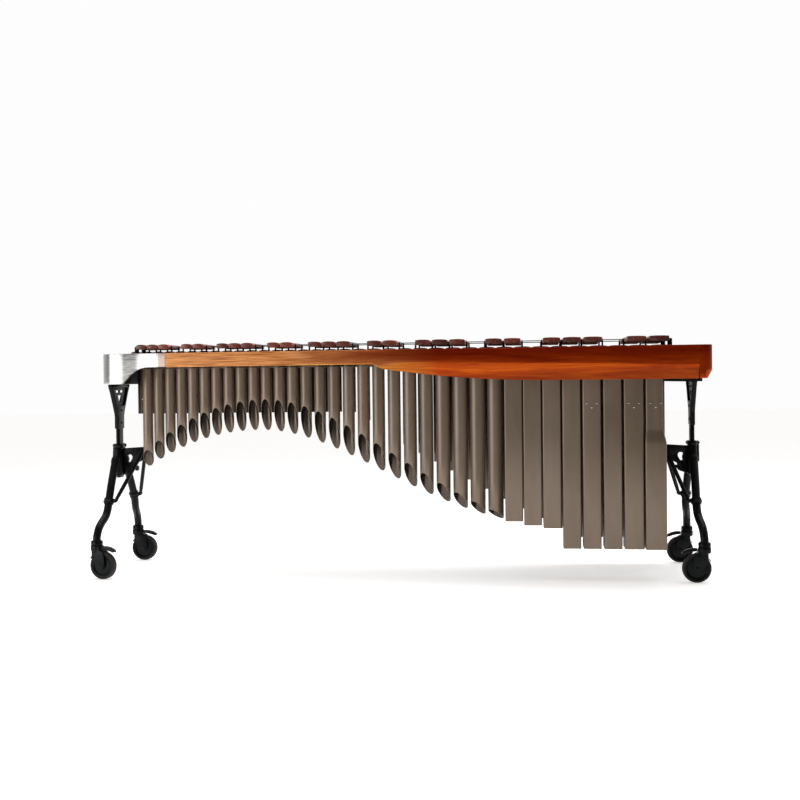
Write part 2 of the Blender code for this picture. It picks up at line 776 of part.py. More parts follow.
def build_gusset(name, x, inward):
    """Bracket plate that runs inward from the hub and carries the two struts."""
    reach = HUB_WIDTH / 2 + GAP
    outline = [
        (reach, 0.579),
        (0.122, 0.585),
        (0.132, 0.577),
        (0.132, 0.537),
        (0.122, 0.525),
        (0.066, 0.499),
        (0.066, 0.467),
        (reach, 0.453),
    ]
    hole = arc((0.048, 0.531), 0.006, 0, 180, 4) + arc((0.048, 0.513), 0.006, 180, 360, 4)
    rings = [[(x + inward * u, z) for u, z in ring] for ring in (outline, hole)]
    mesh = flat_outline(name, rings, GUSSET_THICK, facing_y(0))
    add_object(name, mesh, BLACK_METAL)


def leg_path(x, inward, side):
    """Centre line of a leg: down from the hub, splayed out, then an S-bend to the caster."""
    route = [
        (0.0, 0.0605, 0.535),
        (0.004, 0.142, 0.412),
        (0.006, 0.182, 0.342),
        (0.005, 0.200, 0.300),
        (0.001, 0.219, 0.273),
        (-0.006, 0.256, 0.246),
        (-0.010, 0.281, 0.222),
        (-FOOT_OUT, FOOT_Y, 0.188),
        (-FOOT_OUT, FOOT_Y, CASTER_TOP),
    ]
    return [(x + inward * u, side * y, z) for u, y, z in route]


def build_leg(name, x, inward, side):
    path = leg_path(x, inward, side)
    leg = add_object(name, tube_mesh(name, path, LEG_RADIUS, 3), BLACK_METAL)
    below, above = Vector(path[2]), Vector(path[1])
    along = (above - below).normalized()
    bm = bmesh.new()
    add_cylinder(bm, below - along * CLAMP_HALF, below + along * CLAMP_HALF, CLAMP_RADIUS, 12)
    join_by(leg, "UNION", to_mesh(name + "_clamp", bm), "clamp")
    round_shading(leg)


def build_strut(name, x, inward, side):
    """Brace from the gusset's inner end to the clamp on the leg."""
    start = Vector((x + inward * STRUT_START[0], side * STRUT_START[1], STRUT_START[2]))
    clamp = Vector(leg_path(x, inward, side)[2])
    beside = Vector((inward * (CLAMP_RADIUS + STRUT_RADIUS + STRUT_GAP), 0, 0.004))
    bm = bmesh.new()
    add_cylinder(bm, start, clamp + beside, STRUT_RADIUS, 10)
    strut = add_object(name, to_mesh(name, bm), BLACK_METAL)
    round_shading(strut)


def build_lever(name, x, inward):
    """Clamp lever on the outer face of the collar; it turns about X through its upper end."""
    outline = arc((0, 0), 0.009, 0, 180, 6) + arc((-0.012, -0.080), 0.006, 180, 360, 6)
    place = -inward * (COLLAR_WIDTH / 2 + GAP + LEVER_THICK / 2)
    mesh = flat_outline(name, [outline], LEVER_THICK, facing_x(place))
    add_object(name, mesh, BLACK_PLASTIC, location=(x, 0, LEVER_PIVOT_Z))


def build_knob(name, x, inward):
    """Locking knob at the lower corner of the gusset; it turns about X."""
    bm = bmesh.new()
    add_cylinder(bm, (inward * GAP, 0, 0), (inward * KNOB_NECK_END, 0, 0), KNOB_NECK_RADIUS, 12)
    knob = add_object(name, to_mesh(name, bm), BLACK_PLASTIC, location=(x + inward * KNOB_IN, 0, KNOB_Z))
    head = bmesh.new()
    add_cylinder(head, (inward * KNOB_HEAD_START, 0, 0), (inward * KNOB_END, 0, 0), KNOB_RADIUS, 12)
    join_by(knob, "UNION", to_mesh(name + "_head", head), "head")
    round_shading(knob)


def build_fork(name, place, turn):
    """Swivelling caster body: a round housing hollowed for the wheel, two cheeks and the axle."""
    top = CASTER_TOP - GAP
    cheek = (
        [(-0.014, top), (-0.014, HOUSING_BOTTOM)]
        + arc((TRAIL, WHEEL_RADIUS), 0.016, 230, 350, 4)
        + [(0.052, 0.090), (0.046, 0.122), (0.024, 0.134), (0.024, top)]
    )
    cheek_y = WHEEL_WIDTH / 2 + WHEEL_PLAY + CHEEK_THICK / 2
    well_y = WHEEL_WIDTH / 2 + WHEEL_PLAY
    bm = bmesh.new()
    add_cylinder(bm, (0, 0, HOUSING_BOTTOM), (0, 0, top), HOUSING_RADIUS, 20)
    fork = add_object(name, to_mesh(name, bm), BLACK_PLASTIC, location=place)
    well, axle = bmesh.new(), bmesh.new()
    well_radius = WHEEL_RADIUS + WELL_PLAY
    add_cylinder(well, (TRAIL, -well_y, WHEEL_RADIUS), (TRAIL, well_y, WHEEL_RADIUS), well_radius, 24)
    add_cylinder(axle, (TRAIL, -cheek_y, WHEEL_RADIUS), (TRAIL, cheek_y, WHEEL_RADIUS), AXLE_RADIUS, 10)
    steps = [
        ("front_cheek", "UNION", flat_outline(name, [cheek], CHEEK_THICK, facing_y(-cheek_y))),
        ("rear_cheek", "UNION", flat_outline(name, [cheek], CHEEK_THICK, facing_y(cheek_y))),
        ("well", "DIFFERENCE", to_mesh(name + "_well", well)),
        ("axle", "UNION", to_mesh(name + "_axle", axle)),
    ]
    fork.rotation_euler.z = turn
    for label, operation, mesh in steps:
        join_by(fork, operation, mesh, label)
        CUTTERS.objects[f"{name}_{label}"].rotation_euler.z = turn
    round_shading(fork)


def build_wheel(name, place, turn):
    """Turned wheel with a rounded tread, a sunk face and a bore for the axle."""
    half = WHEEL_WIDTH / 2
    bore = AXLE_RADIUS + 0.0004
    profile = [
        (bore, half - 0.002),
        (0.018, half - 0.002),
        (0.047, half - 0.005),
        (WHEEL_RADIUS - 0.006, half),
        (WHEEL_RADIUS, half - 0.007),
    ]
    ring = profile + [(r, -z) for r, z in reversed(profile)]
    bm = bmesh.new()
    verts = [bm.verts.new((r, 0.0, z)) for r, z in ring]
    edges = [bm.edges.new((verts[i], verts[(i + 1) % len(verts)])) for i in range(len(verts))]
    bmesh.ops.spin(
        bm,
        geom=verts + edges,
        axis=(0, 0, 1),
        cent=(0, 0, 0),
        angle=2 * math.pi,
        steps=20,
        use_merge=True,
    )
    bmesh.ops.rotate(bm, verts=bm.verts, matrix=Matrix.Rotation(math.radians(90), 3, "X"))
    offset = Matrix.Rotation(turn, 3, "Z") @ Vector((TRAIL, 0, 0))
    centre = (place[0] + offset.x, place[1] + offset.y, WHEEL_RADIUS)
    wheel = add_object(name, to_mesh(name, bm), RUBBER, location=centre)
    wheel.rotation_euler.z = turn
    round_shading(wheel)


def build_pedal(name, place, turn):
    """Brake pedal over the wheel; it tips about the axis through its inner end."""
    pivot = Vector((PEDAL_PIVOT[0], 0, PEDAL_PIVOT[1]))
    outline = [
        (-0.0045, 0.0065),
        (-0.0045, -0.0060),
        (0.018, -0.0080),
        (0.059, -0.0200),
        (0.062, -0.0160),
        (0.045, -0.0040),
        (0.018, 0.0065),
    ]
    offset = Matrix.Rotation(turn, 3, "Z") @ pivot
    mesh = flat_outline(name, [outline], PEDAL_WIDTH, facing_y(0))
    pedal = add_object(name, mesh, BLACK_PLASTIC, location=Vector(place) + offset)
    pedal.rotation_euler.z = turn


def build_stand(label, x):
    """The yoke, column and wheeled base at one end."""
    inward = -1 if x > 0 else 1
    column = (COLUMN_DEPTH, COLUMN_WIDTH)
    bore = (COLUMN_DEPTH + 2 * GAP, COLUMN_WIDTH + 2 * GAP)
    collar = (COLLAR_DEPTH, COLLAR_WIDTH)
    build_yoke(f"{label}_yoke", x)
    build_oval(f"{label}_inner_column", x, column, None, COLUMN_BOTTOM, SOCKET_BOTTOM - GAP, BLACK_METAL)
    build_oval(f"{label}_clamp_collar", x, collar, bore, HUB_TOP + GAP, COLLAR_TOP, BLACK_PLASTIC)
    build_oval(f"{label}_base_hub", x, (HUB_DEPTH, HUB_WIDTH), bore, HUB_BOTTOM, HUB_TOP, BLACK_METAL)
    build_gusset(f"{label}_gusset", x, inward)
    build_lever(f"{label}_clamp_lever", x, inward)
    build_knob(f"{label}_locking_knob", x, inward)
    for side, side_name in ((-1, "front"), (1, "rear")):
        build_leg(f"{label}_{side_name}_leg", x, inward, side)
        build_strut(f"{label}_{side_name}_strut", x, inward, side)
        place = (x - inward * FOOT_OUT, side * FOOT_Y, 0.0)
        turn = math.pi if inward < 0 else 0.0
        if label == "high" and side < 0:
            turn += HIGH_FRONT_SWIVEL
        build_fork(f"{label}_{side_name}_caster_fork", place, turn)
        build_wheel(f"{label}_{side_name}_wheel", place, turn)
        build_pedal(f"{label}_{side_name}_brake_pedal", place, turn)


# ---------------------------------------------------------------- assembly
def build_frame():
    build_fascia("front_fascia", -1)
    build_fascia("rear_fascia", 1)
    build_end_shell(
        "high_end_cover", -1, COVER_RADIUS, COVER_END, COVER_THICK, cover_bottom, BRUSHED_METAL, 8
    )
    build_end_shell(
        "low_end_board", 1, BOARD_RADIUS, FASCIA_END + GAP, BOARD_THICK, lambda x: END_BOTTOM, WOOD, 6
    )
    build_high_beam()
    build_low_beam()
    natural_posts = [i for i in range(-1, NATURALS)]
    for end in ("front", "rear"):
        build_support(f"natural_{end}_rail", natural_span, end, NATURAL_SUPPORT_TOP, natural_posts)
        build_support(
            f"accidental_{end}_rail", accidental_span, end, ACCIDENTAL_SUPPORT_TOP, accidental_post_places()
        )


clear_scene()
PARTS = make_collection("marimba")
CUTTERS = make_collection("cutters")
WOOD = make_material("padauk_wood", (0.42, 0.13, 0.045), 0.35)
ROSEWOOD = make_material("rosewood", (0.16, 0.055, 0.035), 0.40)
BRUSHED_METAL = make_material("brushed_aluminium", (0.62, 0.60, 0.60), 0.35, 1.0)
TAUPE_METAL = make_material("taupe_metal", (0.20, 0.155, 0.125), 0.40, 0.6)
BLACK_METAL = make_material("black_metal", (0.012, 0.012, 0.013), 0.45)
BLACK_PLASTIC = make_material("black_plastic", (0.015, 0.016, 0.017), 0.50)
RUBBER = make_material("dark_rubber", (0.030, 0.030, 0.030), 0.65)
build_frame()
build_all_bars()
build_banks()
build_stand("high", -COLUMN_X)
build_stand("low", COLUMN_X)
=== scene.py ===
import math

import bmesh
import bpy
from mathutils import Matrix, Vector
from mathutils.geometry import interpolate_bezier


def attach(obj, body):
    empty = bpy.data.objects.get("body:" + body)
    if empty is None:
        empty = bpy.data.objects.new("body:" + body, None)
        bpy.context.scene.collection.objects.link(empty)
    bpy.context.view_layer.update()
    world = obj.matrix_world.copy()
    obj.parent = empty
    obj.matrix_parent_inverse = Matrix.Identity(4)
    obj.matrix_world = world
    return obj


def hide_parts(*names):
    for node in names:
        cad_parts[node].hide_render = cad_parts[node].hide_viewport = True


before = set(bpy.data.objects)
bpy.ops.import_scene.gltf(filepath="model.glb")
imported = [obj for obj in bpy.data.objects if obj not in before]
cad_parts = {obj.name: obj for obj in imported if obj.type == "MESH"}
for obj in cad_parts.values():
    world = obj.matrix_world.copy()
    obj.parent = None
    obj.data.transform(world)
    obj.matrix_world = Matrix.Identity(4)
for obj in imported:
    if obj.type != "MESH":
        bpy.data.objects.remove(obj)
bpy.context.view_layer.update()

# ---- driving dimensions: the CAD source's own, and some for the visual model alone
HALF_LENGTH = 1.366
HALF_DEPTH_HIGH, HALF_DEPTH_LOW = 0.216, 0.537
RAIL_TOP = 1.025
END_BOTTOM = 0.885
SLIM_BOTTOM = 0.961
FASCIA_THICK = 0.022
FASCIA_START, FASCIA_END = -1.040, 1.310
KINK_START, KINK_END = -0.075, -0.030
SWEEP_LENGTH, SWEEP_RISE = 0.730, 0.056
FACET_TOP_START, FACET_TOP_END = 0.967, 0.940
FACET_INSET, FACET_MINIMUM = 0.034, 0.010
COVER_THICK, COVER_RADIUS = 0.008, 0.085
COVER_END, COVER_KNEE = FASCIA_START - 0.0014, 0.010
ARCH_START, ARCH_LENGTH = -1.248, 0.120
BOARD_THICK, BOARD_RADIUS, BOARD_KNEE, BOARD_UNDERCUT = 0.022, 0.038, 0.034, 0.019
RAILS_START, RAILS_END = -1.2997, 1.2497

NATURALS, MEMBERS, ROUND_MEMBERS = 36, 34, 26
MEMBER_ONE_X = -1.172
PITCH_HIGH, PITCH_LOW, PITCH_POWER = 0.0545, 0.0940, 1.47
BAR_GAP_SHARE = 0.135
OCTAVE_STEPS = (0, 1, 3, 5, 7, 8, 10)
NOTE_NAMES = ("C", "B", "A", "G", "F", "E", "D")
TOP_NOTE_HZ, SOUND_SPEED, END_CORRECTION = 2093.0, 343.0, 0.6
BAR_SETBACK = 0.045
ACCIDENTAL_HIGH_LENGTH, ACCIDENTAL_LOW_LENGTH = 0.190, 0.475
OVERLAP_HIGH, OVERLAP_LOW = 0.018, 0.058
NODE_SHARE = 0.224
NATURAL_BOTTOM, NATURAL_TOP = 1.016, 1.040
ACCIDENTAL_BOTTOM, ACCIDENTAL_TOP = 1.0445, 1.067
ARCH_DEPTH_HIGH, ARCH_DEPTH_LOW = 0.004, 0.013
BAR_CROWN, BAR_EDGE, BAR_END_EASE = (0.0042, 0.0016), (0.0040, 0.0026), 0.0022
CORD_RADIUS, CORD_OVERHANG, HOOK_RADIUS = 0.002, 0.15, 0.0036
SUPPORT_WIDTH, SUPPORT_HEIGHT = 0.020, 0.045
NATURAL_SUPPORT_TOP, ACCIDENTAL_SUPPORT_TOP = 1.004, 1.024
POST_BELOW_BAR_TOP = 0.004

TUBE_HIGH_DIAMETER, TUBE_DIAMETER_GROWTH, TUBE_DIAMETER_POWER = 0.0475, 0.0225, 2.6
TUBE_WALL, BOX_WALL, STOPPER = 0.0016, 0.002, 0.004
BOX_WIDTH, BOX_DEPTH = 0.079, 0.130
FRONT_TUBE_TOP, REAR_TUBE_TOP = 1.028, 1.000
REAR_FLAT_BOTTOM, REAR_FLAT_END, REAR_SLOPE = 0.742, -0.250, 0.560
LONG_BOX_BOTTOM = 0.141
SHORT_BOX_BOTTOMS = {27: 0.259, 28: 0.242, 29: 0.230}
SHOULDER_TOP, SHOULDER_BOTTOM = 0.670, 0.600
NEXT_LOWEST_HALF = 0.0425
LOWEST_NECK, LOWEST_BODY = (0.042, 0.033, 0.065), (0.046, 0.045, 0.077)
PLATE_BOTTOM, PLATE_THICK, PLATE_MARGIN = 0.955, 0.003, 0.010
PIN_SPREAD, PIN_Z, SCREW_BELOW_PINS = 0.0225, 0.779, 0.017
ARCH_PEAK, ARCH_PEAK_MEMBER, ARCH_RISE = 0.665, 10.5, 0.00184
ARCH_FALL, ARCH_FALL_MEMBERS = 0.430, 18.5
CUT_DROP, CUT_DROP_MEMBER = 0.152, 13.5
CUT_DROP_LOSS_HIGH, CUT_DROP_LOSS_LOW = 0.00047, 0.00068
CUT_TURN_HIGH, CUT_TURN_LOW, CUT_TURN_POWER = math.radians(-5.0), math.radians(49.0), 1.8

COLUMN_X = 1.345
YOKE_THICK, YOKE_HALF = 0.021, 0.1225
SOCKET_HALF, SOCKET_TOP, SOCKET_BOTTOM = 0.040, 0.734, 0.673
COLUMN_DEPTH, COLUMN_WIDTH, COLUMN_BOTTOM = 0.063, 0.019, 0.440
COLLAR_DEPTH, COLLAR_WIDTH, COLLAR_TOP = 0.090, 0.044, 0.602
HUB_DEPTH, HUB_WIDTH, HUB_TOP, HUB_BOTTOM = 0.084, 0.040, 0.582, 0.450
GUSSET_THICK = 0.024
LEG_RADIUS, CLAMP_RADIUS, STRUT_RADIUS = 0.018, 0.023, 0.009
STRUT_GAP = 0.0015
STRUT_START = (0.118, 0.0205, 0.560)
LEVER_PIVOT_Z, LEVER_THICK = 0.592, 0.009
KNOB_IN, KNOB_Z = 0.066, 0.483
WHEEL_RADIUS, WHEEL_WIDTH, AXLE_RADIUS = 0.0625, 0.034, 0.005
TRAIL, CASTER_TOP = 0.034, 0.155
PEDAL_PIVOT = (0.035, 0.143)
FOOT_Y, FOOT_OUT = 0.297, 0.0125
HIGH_FRONT_SWIVEL = math.radians(-15.0)
GAP = 0.0003
TUBE_SIDES, WHEEL_SIDES = 40, 56
ON_AXIS = 0.0002

CAMERA_PLACE, CAMERA_LENS = (0.605, -5.681, 0.886), 54.97
CAMERA_YAW, CAMERA_PITCH, CAMERA_ROLL = 0.10473, -0.01544, -0.010635
WORLD_DIM, WORLD_BRIGHT = (0.030, 0.028, 0.026), (0.85, 0.84, 0.83)
WORLD_GROUND, WORLD_SEEN = (0.34, 0.33, 0.32), (0.985, 0.985, 0.985)
WHITE = (1.0, 1.0, 1.0)
MIX_FACTOR, MIX_A, MIX_B, MIX_COLOUR = 0, 6, 7, 2
# Heights over which the boards grow darker toward their top edge.
TOP_DARKENING_LOW, TOP_DARKENING_HIGH = 0.970, 1.000
FLOOR_GLOW, FLOOR_NEAR, FLOOR_FAR, FLOOR_Z = 0.475, -3.35, 30.0, -0.0005


# ---- layout rules, as in the CAD source
def mix(a, b, share):
    return a + (b - a) * share


def clamp01(value):
    return min(max(value, 0.0), 1.0)


def smooth(value):
    value = clamp01(value)
    return value * value * (3.0 - 2.0 * value)


def half_depth(x):
    """Half the frame's depth at x: it tapers toward the high end."""
    return mix(HALF_DEPTH_HIGH, HALF_DEPTH_LOW, (x + HALF_LENGTH) / (2 * HALF_LENGTH))


def member_x(s):
    """X of member s; naturals lie at half steps between the members of the front bank."""
    grown = max(s - 1.0, 0.0)
    span = MEMBERS - 1
    growth = (PITCH_LOW - PITCH_HIGH) * grown ** (PITCH_POWER + 1) / ((PITCH_POWER + 1) * span**PITCH_POWER)
    return MEMBER_ONE_X + PITCH_HIGH * (s - 1.0) + growth


def pitch(s):
    return member_x(s + 0.5) - member_x(s - 0.5)


def semitones_down(i):
    octave, step = divmod(i, len(OCTAVE_STEPS))
    return 12 * octave + OCTAVE_STEPS[step]


def has_accidental(k):
    return semitones_down(k + 1) - semitones_down(k) == 2


def acoustic_depth(semitones, radius):
    frequency = TOP_NOTE_HZ * 2.0 ** (-semitones / 12.0)
    return SOUND_SPEED / (4.0 * frequency) - END_CORRECTION * radius


def low_share(x):
    return (x - member_x(1)) / (member_x(MEMBERS) - member_x(1))


def accidental_span(x):
    """Y of the front and rear ends of the upper row of bars at x."""
    front = -half_depth(x) + BAR_SETBACK
    return front, front + mix(ACCIDENTAL_HIGH_LENGTH, ACCIDENTAL_LOW_LENGTH, low_share(x))


def natural_span(x):
    return accidental_span(x)[1] - mix(OVERLAP_HIGH, OVERLAP_LOW, low_share(x)), half_depth(x) - BAR_SETBACK


def node_line(span, x, end):
    """Y of the straight line through the bars' supports at x."""
    edges = []
    for place in (RAILS_START, RAILS_END):
        front, rear = span(place)
        inset = NODE_SHARE * (rear - front)
        edges.append(front + inset if end == "front" else rear - inset)
    return mix(*edges, (x - RAILS_START) / (RAILS_END - RAILS_START))


def middle(span, x):
    return sum(span(x)) / 2.0


def tube_diameter(s):
    share = clamp01((s - 1.0) / (ROUND_MEMBERS - 1.0))
    return TUBE_HIGH_DIAMETER + TUBE_DIAMETER_GROWTH * share**TUBE_DIAMETER_POWER


def arch_tip(k):
    away = k - ARCH_PEAK_MEMBER
    if away < 0:
        return ARCH_PEAK - ARCH_RISE * away**2
    return ARCH_PEAK - ARCH_FALL * (1.0 - math.cos(math.pi * away / ARCH_FALL_MEMBERS)) / 2


def cut_drop(k):
    away = k - CUT_DROP_MEMBER
    return CUT_DROP - (CUT_DROP_LOSS_HIGH if away < 0 else CUT_DROP_LOSS_LOW) * away**2


def cut_direction(k):
    """Side of tube k where its slanted cut reaches lowest; it turns from tube to tube."""
    angle = mix(CUT_TURN_HIGH, CUT_TURN_LOW, ((k - 1) / (ROUND_MEMBERS - 1)) ** CUT_TURN_POWER)
    return Vector((math.sin(angle), math.cos(angle), 0.0))


def fascia_bottom(x):
    if x <= KINK_START:
        return SLIM_BOTTOM
    swept = END_BOTTOM - 0.001 + SWEEP_RISE * (1.0 - clamp01((x - KINK_END) / SWEEP_LENGTH)) ** 2
    return mix(SLIM_BOTTOM, swept, clamp01((x - KINK_START) / (KINK_END - KINK_START)))


def leg_path(x, inward, side):
    """Route of a leg's centre line, from the hub down to the caster."""
    route = [(0.0, 0.0605, 0.535), (0.004, 0.142, 0.412), (0.006, 0.182, 0.342), (0.005, 0.200, 0.300)]
    route += [(0.001, 0.219, 0.273), (-0.006, 0.256, 0.246), (-0.010, 0.281, 0.222)]
    route += [(-FOOT_OUT, FOOT_Y, 0.188), (-FOOT_OUT, FOOT_Y, CASTER_TOP)]
    return [Vector((x + inward * u, side * y, z)) for u, y, z in route]


# ---- material helpers
def rgba(colour):
    """Adds full opacity to a colour; a single number stands for a grey."""
    if isinstance(colour, float):
        colour = (colour, colour, colour)
    return (*colour, 1.0) if isinstance(colour, tuple) else colour


class Nodes:
    """A node tree under construction, with short names for the nodes that it uses."""

    def __init__(self, tree):
        self.tree = tree

    def set(self, node, inputs):
        for key, value in inputs.items():
            if isinstance(value, bpy.types.NodeSocket):
                self.tree.links.new(value, node.inputs[key])
            else:
                node.inputs[key].default_value = value
        return node

    def add(self, kind, inputs=None, **settings):
        node = self.tree.nodes.new("ShaderNode" + kind)
        for key, value in settings.items():
            setattr(node, key, value)
        return self.set(node, inputs or {})

    def ramp(self, factor, *stops):
        node = self.add("ValToRGB", {"Fac": factor})
        points = node.color_ramp.elements
        while len(points) < len(stops):
            points.new(0.5)
        for point, (place, colour) in zip(points, stops):
            point.position = place
            point.color = rgba(colour)
        return node.outputs["Color"]

    def blend(self, factor, a, b, how="MIX"):
        node = self.add("Mix", data_type="RGBA", blend_type=how)
        self.set(node, {MIX_FACTOR: factor, MIX_A: rgba(a), MIX_B: rgba(b)})
        return node.outputs[MIX_COLOUR]

    def times(self, a, b, factor=1.0):
        return self.blend(factor, a, b, "MULTIPLY")

    def axis(self, name, source):
        return self.add("SeparateXYZ", {"Vector": source}).outputs[name]

    def stretch(self, value, low, high):
        """Maps a value between low and high to between 0 and 1."""
        inputs = {"Value": value, "From Min": low, "From Max": high}
        return self.add("MapRange", inputs).outputs["Result"]

    def between(self, factor, low, high):
        inputs = {"Value": factor, "To Min": low, "To Max": high}
        return self.add("MapRange", inputs).outputs["Result"]


class Paint(Nodes):
    """A Principled material under construction."""

    def __init__(self, name, roughness=0.5, metallic=0.0, **more):
        self.material = bpy.data.materials.new(name)
        self.material.use_nodes = True
        super().__init__(self.material.node_tree)
        self.shader = self.tree.nodes["Principled BSDF"]
        self.use(Roughness=roughness, Metallic=metallic, **more)

    def use(self, **inputs):
        """Sets the shader's inputs, named with underscores for spaces, and gives the material."""
        self.set(self.shader, {key.replace("_", " "): value for key, value in inputs.items()})
        return self.material

    def place(self, scale=(1.0, 1.0, 1.0), grain=False):
        """Coordinates in metres, stretched by scale: the object's own, or those laid along a board."""
        if grain:
            source = self.add("UVMap", uv_map="grain").outputs["UV"]
        else:
            source = self.add("TexCoord").outputs["Object"]
        return self.add("Mapping", {"Vector": source, "Scale": scale}).outputs["Vector"]

    def noise(self, scale, detail=4.0, rough=0.6, warp=0.0, grain=False):
        """Noise; scale gives its cells for each metre, as one number or one for each axis."""
        place = self.place(scale if isinstance(scale, tuple) else (scale,) * 3, grain)
        inputs = {"Vector": place, "Scale": 1.0, "Detail": detail, "Roughness": rough, "Distortion": warp}
        return self.add("TexNoise", inputs).outputs["Fac"]

    def bump(self, height, strength, distance):
        inputs = {"Height": height, "Strength": strength, "Distance": distance}
        self.use(Normal=self.add("Bump", inputs).outputs["Normal"])


# ---- materials
def matt_finish(name, specular, drift, tones, texture, depth, roughness):
    """Dark finish: its tone and roughness drift in clouds, over a fine bumpy texture."""
    p = Paint(name, Specular_IOR_Level=specular)
    cloud = p.noise(*drift)
    p.bump(p.noise(*texture), *depth)
    start, dark, light = tones
    colour = p.ramp(cloud, (start, dark), (0.75, light))
    return p.use(Base_Color=colour, Roughness=p.between(cloud, *roughness))


def powder_coat():
    """Black powder coat: fine orange peel, and faint grey dust that lies in clouds."""
    tones = (0.35, (0.0016, 0.0016, 0.0018), (0.0070, 0.0070, 0.0072))
    peel = (700.0, 2.0, 0.5)
    return matt_finish("black_powder_coat", 0.12, (14.0, 5.0), tones, peel, (0.18, 0.0004), (0.28, 0.46))


def black_plastic():
    """Moulded nylon with a fine spark-eroded texture."""
    tones = (0.3, (0.0014, 0.0020, 0.0022), (0.0060, 0.0076, 0.0080))
    return matt_finish("black_plastic", 0.13, (30.0,), tones, (1600.0, 2.0), (0.22, 0.0002), (0.26, 0.40))


def tread_rubber():
    """Grey-brown rubber tyre, dull and dusty in patches."""
    tones = (0.3, (0.012, 0.010, 0.009), (0.042, 0.033, 0.027))
    scuff = (90.0, 5.0, 0.65)
    return matt_finish("tread_rubber", 0.2, scuff, tones, (1200.0, 2.0), (0.2, 0.0003), (0.50, 0.72))


def painted_rail():
    """Matte black painted wood under the bars, brushed along its length."""
    tones = (0.3, 0.0025, (0.0070, 0.0064, 0.0064))
    brush = ((5.0, 160.0, 160.0),)
    return matt_finish("painted_rail", 0.10, brush, tones, brush, (0.15, 0.0005), (0.48, 0.68))


def painted_slope_light_and_darker_top(p):
    """Painted light from the floor on faces that slope down, a painted highlight along the rounded edge
    above them, and a darker band along the top, as in the photograph.

    The photograph does not tell stain from light there.
    """
    slope = p.stretch(p.axis("Z", p.add("NewGeometry").outputs["Normal"]), 0.0, -0.6)
    # Painted highlight along the rounded edge where an upright face turns down, then painted floor light on
    # the faces that slope down.
    edge = ((0.25, (2.2, 3.0, 1.4)), (0.72, (2.1, 2.9, 1.3)))
    painted_slope_light = p.ramp(slope, (0.04, WHITE), *edge, (0.86, (1.25, 1.7, 0.35)))
    # The boards grow darker toward their top edge.
    height = p.stretch(p.axis("Z", p.place()), TOP_DARKENING_LOW, TOP_DARKENING_HIGH)
    return p.times(painted_slope_light, p.ramp(height, (0.0, WHITE), (1.0, (0.62, 0.40, 0.25))))


def padauk_wood():
    """Lacquered boards with streaky grain along them, and a painted sheen that makes them paler toward the
    high end.
    """
    p = Paint("padauk_wood", Specular_IOR_Level=0.04, Coat_Weight=0.05, Coat_Roughness=0.12)
    broad = p.noise((1.9, 26.0, 1.0), 5.0, 0.6, 1.2, grain=True)
    streak = p.noise((6.0, 230.0, 1.0), 5.0, 0.65, 0.5, grain=True)
    pores = p.noise((70.0, 1500.0, 1.0), 3.0, grain=True)
    along = p.stretch(p.axis("X", p.place()), -HALF_LENGTH, HALF_LENGTH)
    # Painted sheen: toward the high end the boards blend into paler, more orange tones that stand in for
    # light reflected off the lacquer.
    painted_sheen = p.ramp(along, (0.30, 1.0), (0.45, 0.30), (0.58, 0.0))
    deep = zip((0.30, 0.52, 0.76), ((0.165, 0.011, 0.0005), (0.245, 0.024, 0.0010), (0.350, 0.052, 0.0026)))
    # The paler tones of the painted sheen.
    light = zip((0.30, 0.52, 0.76), ((0.500, 0.165, 0.038), (0.820, 0.350, 0.125), (0.950, 0.540, 0.260)))
    lines = p.ramp(streak, (0.34, (0.42, 0.32, 0.26)), (0.54, WHITE), (0.78, (1.20, 1.30, 1.4)))
    board = p.blend(painted_sheen, p.ramp(broad, *deep), p.ramp(broad, *light))
    colour = p.times(board, lines, p.between(painted_sheen, 0.55, 0.95))
    colour = p.times(colour, p.ramp(pores, (0.60, WHITE), (0.70, (0.55, 0.45, 0.42))), 0.7)
    # The painted slope light and the darker top fade out toward the high end, where the painted sheen takes
    # over.
    colour = p.times(colour, p.blend(p.between(painted_sheen, 0.0, 1.0), painted_slope_light_and_darker_top(p), WHITE))
    p.bump(pores, 0.10, 0.0004)
    return p.use(Base_Color=colour, Roughness=p.between(streak, 0.26, 0.42))


def rosewood():
    """Oiled dark bars, each a little different, with the grain along Y."""
    p = Paint("rosewood", Specular_IOR_Level=0.5, Coat_Weight=0.25, Coat_Roughness=0.25)
    broad = p.noise((45.0, 3.0, 45.0), 5.0, 0.6, 0.8)
    streak = p.noise((420.0, 9.0, 420.0))
    tones = zip((0.25, 0.52, 0.80), ((0.085, 0.021, 0.015), (0.215, 0.055, 0.035), (0.380, 0.115, 0.070)))
    random = p.add("ObjectInfo").outputs["Random"]
    tint = p.ramp(random, (0.0, (0.62, 0.60, 0.66)), (0.5, WHITE), (1.0, (1.38, 1.16, 1.05)))
    dark = p.ramp(streak, (0.38, (0.45, 0.40, 0.40)), (0.58, WHITE))
    colour = p.times(p.times(p.ramp(broad, *tones), tint), dark, 0.8)
    p.bump(streak, 0.12, 0.0004)
    return p.use(Base_Color=colour, Roughness=p.between(streak, 0.30, 0.46))


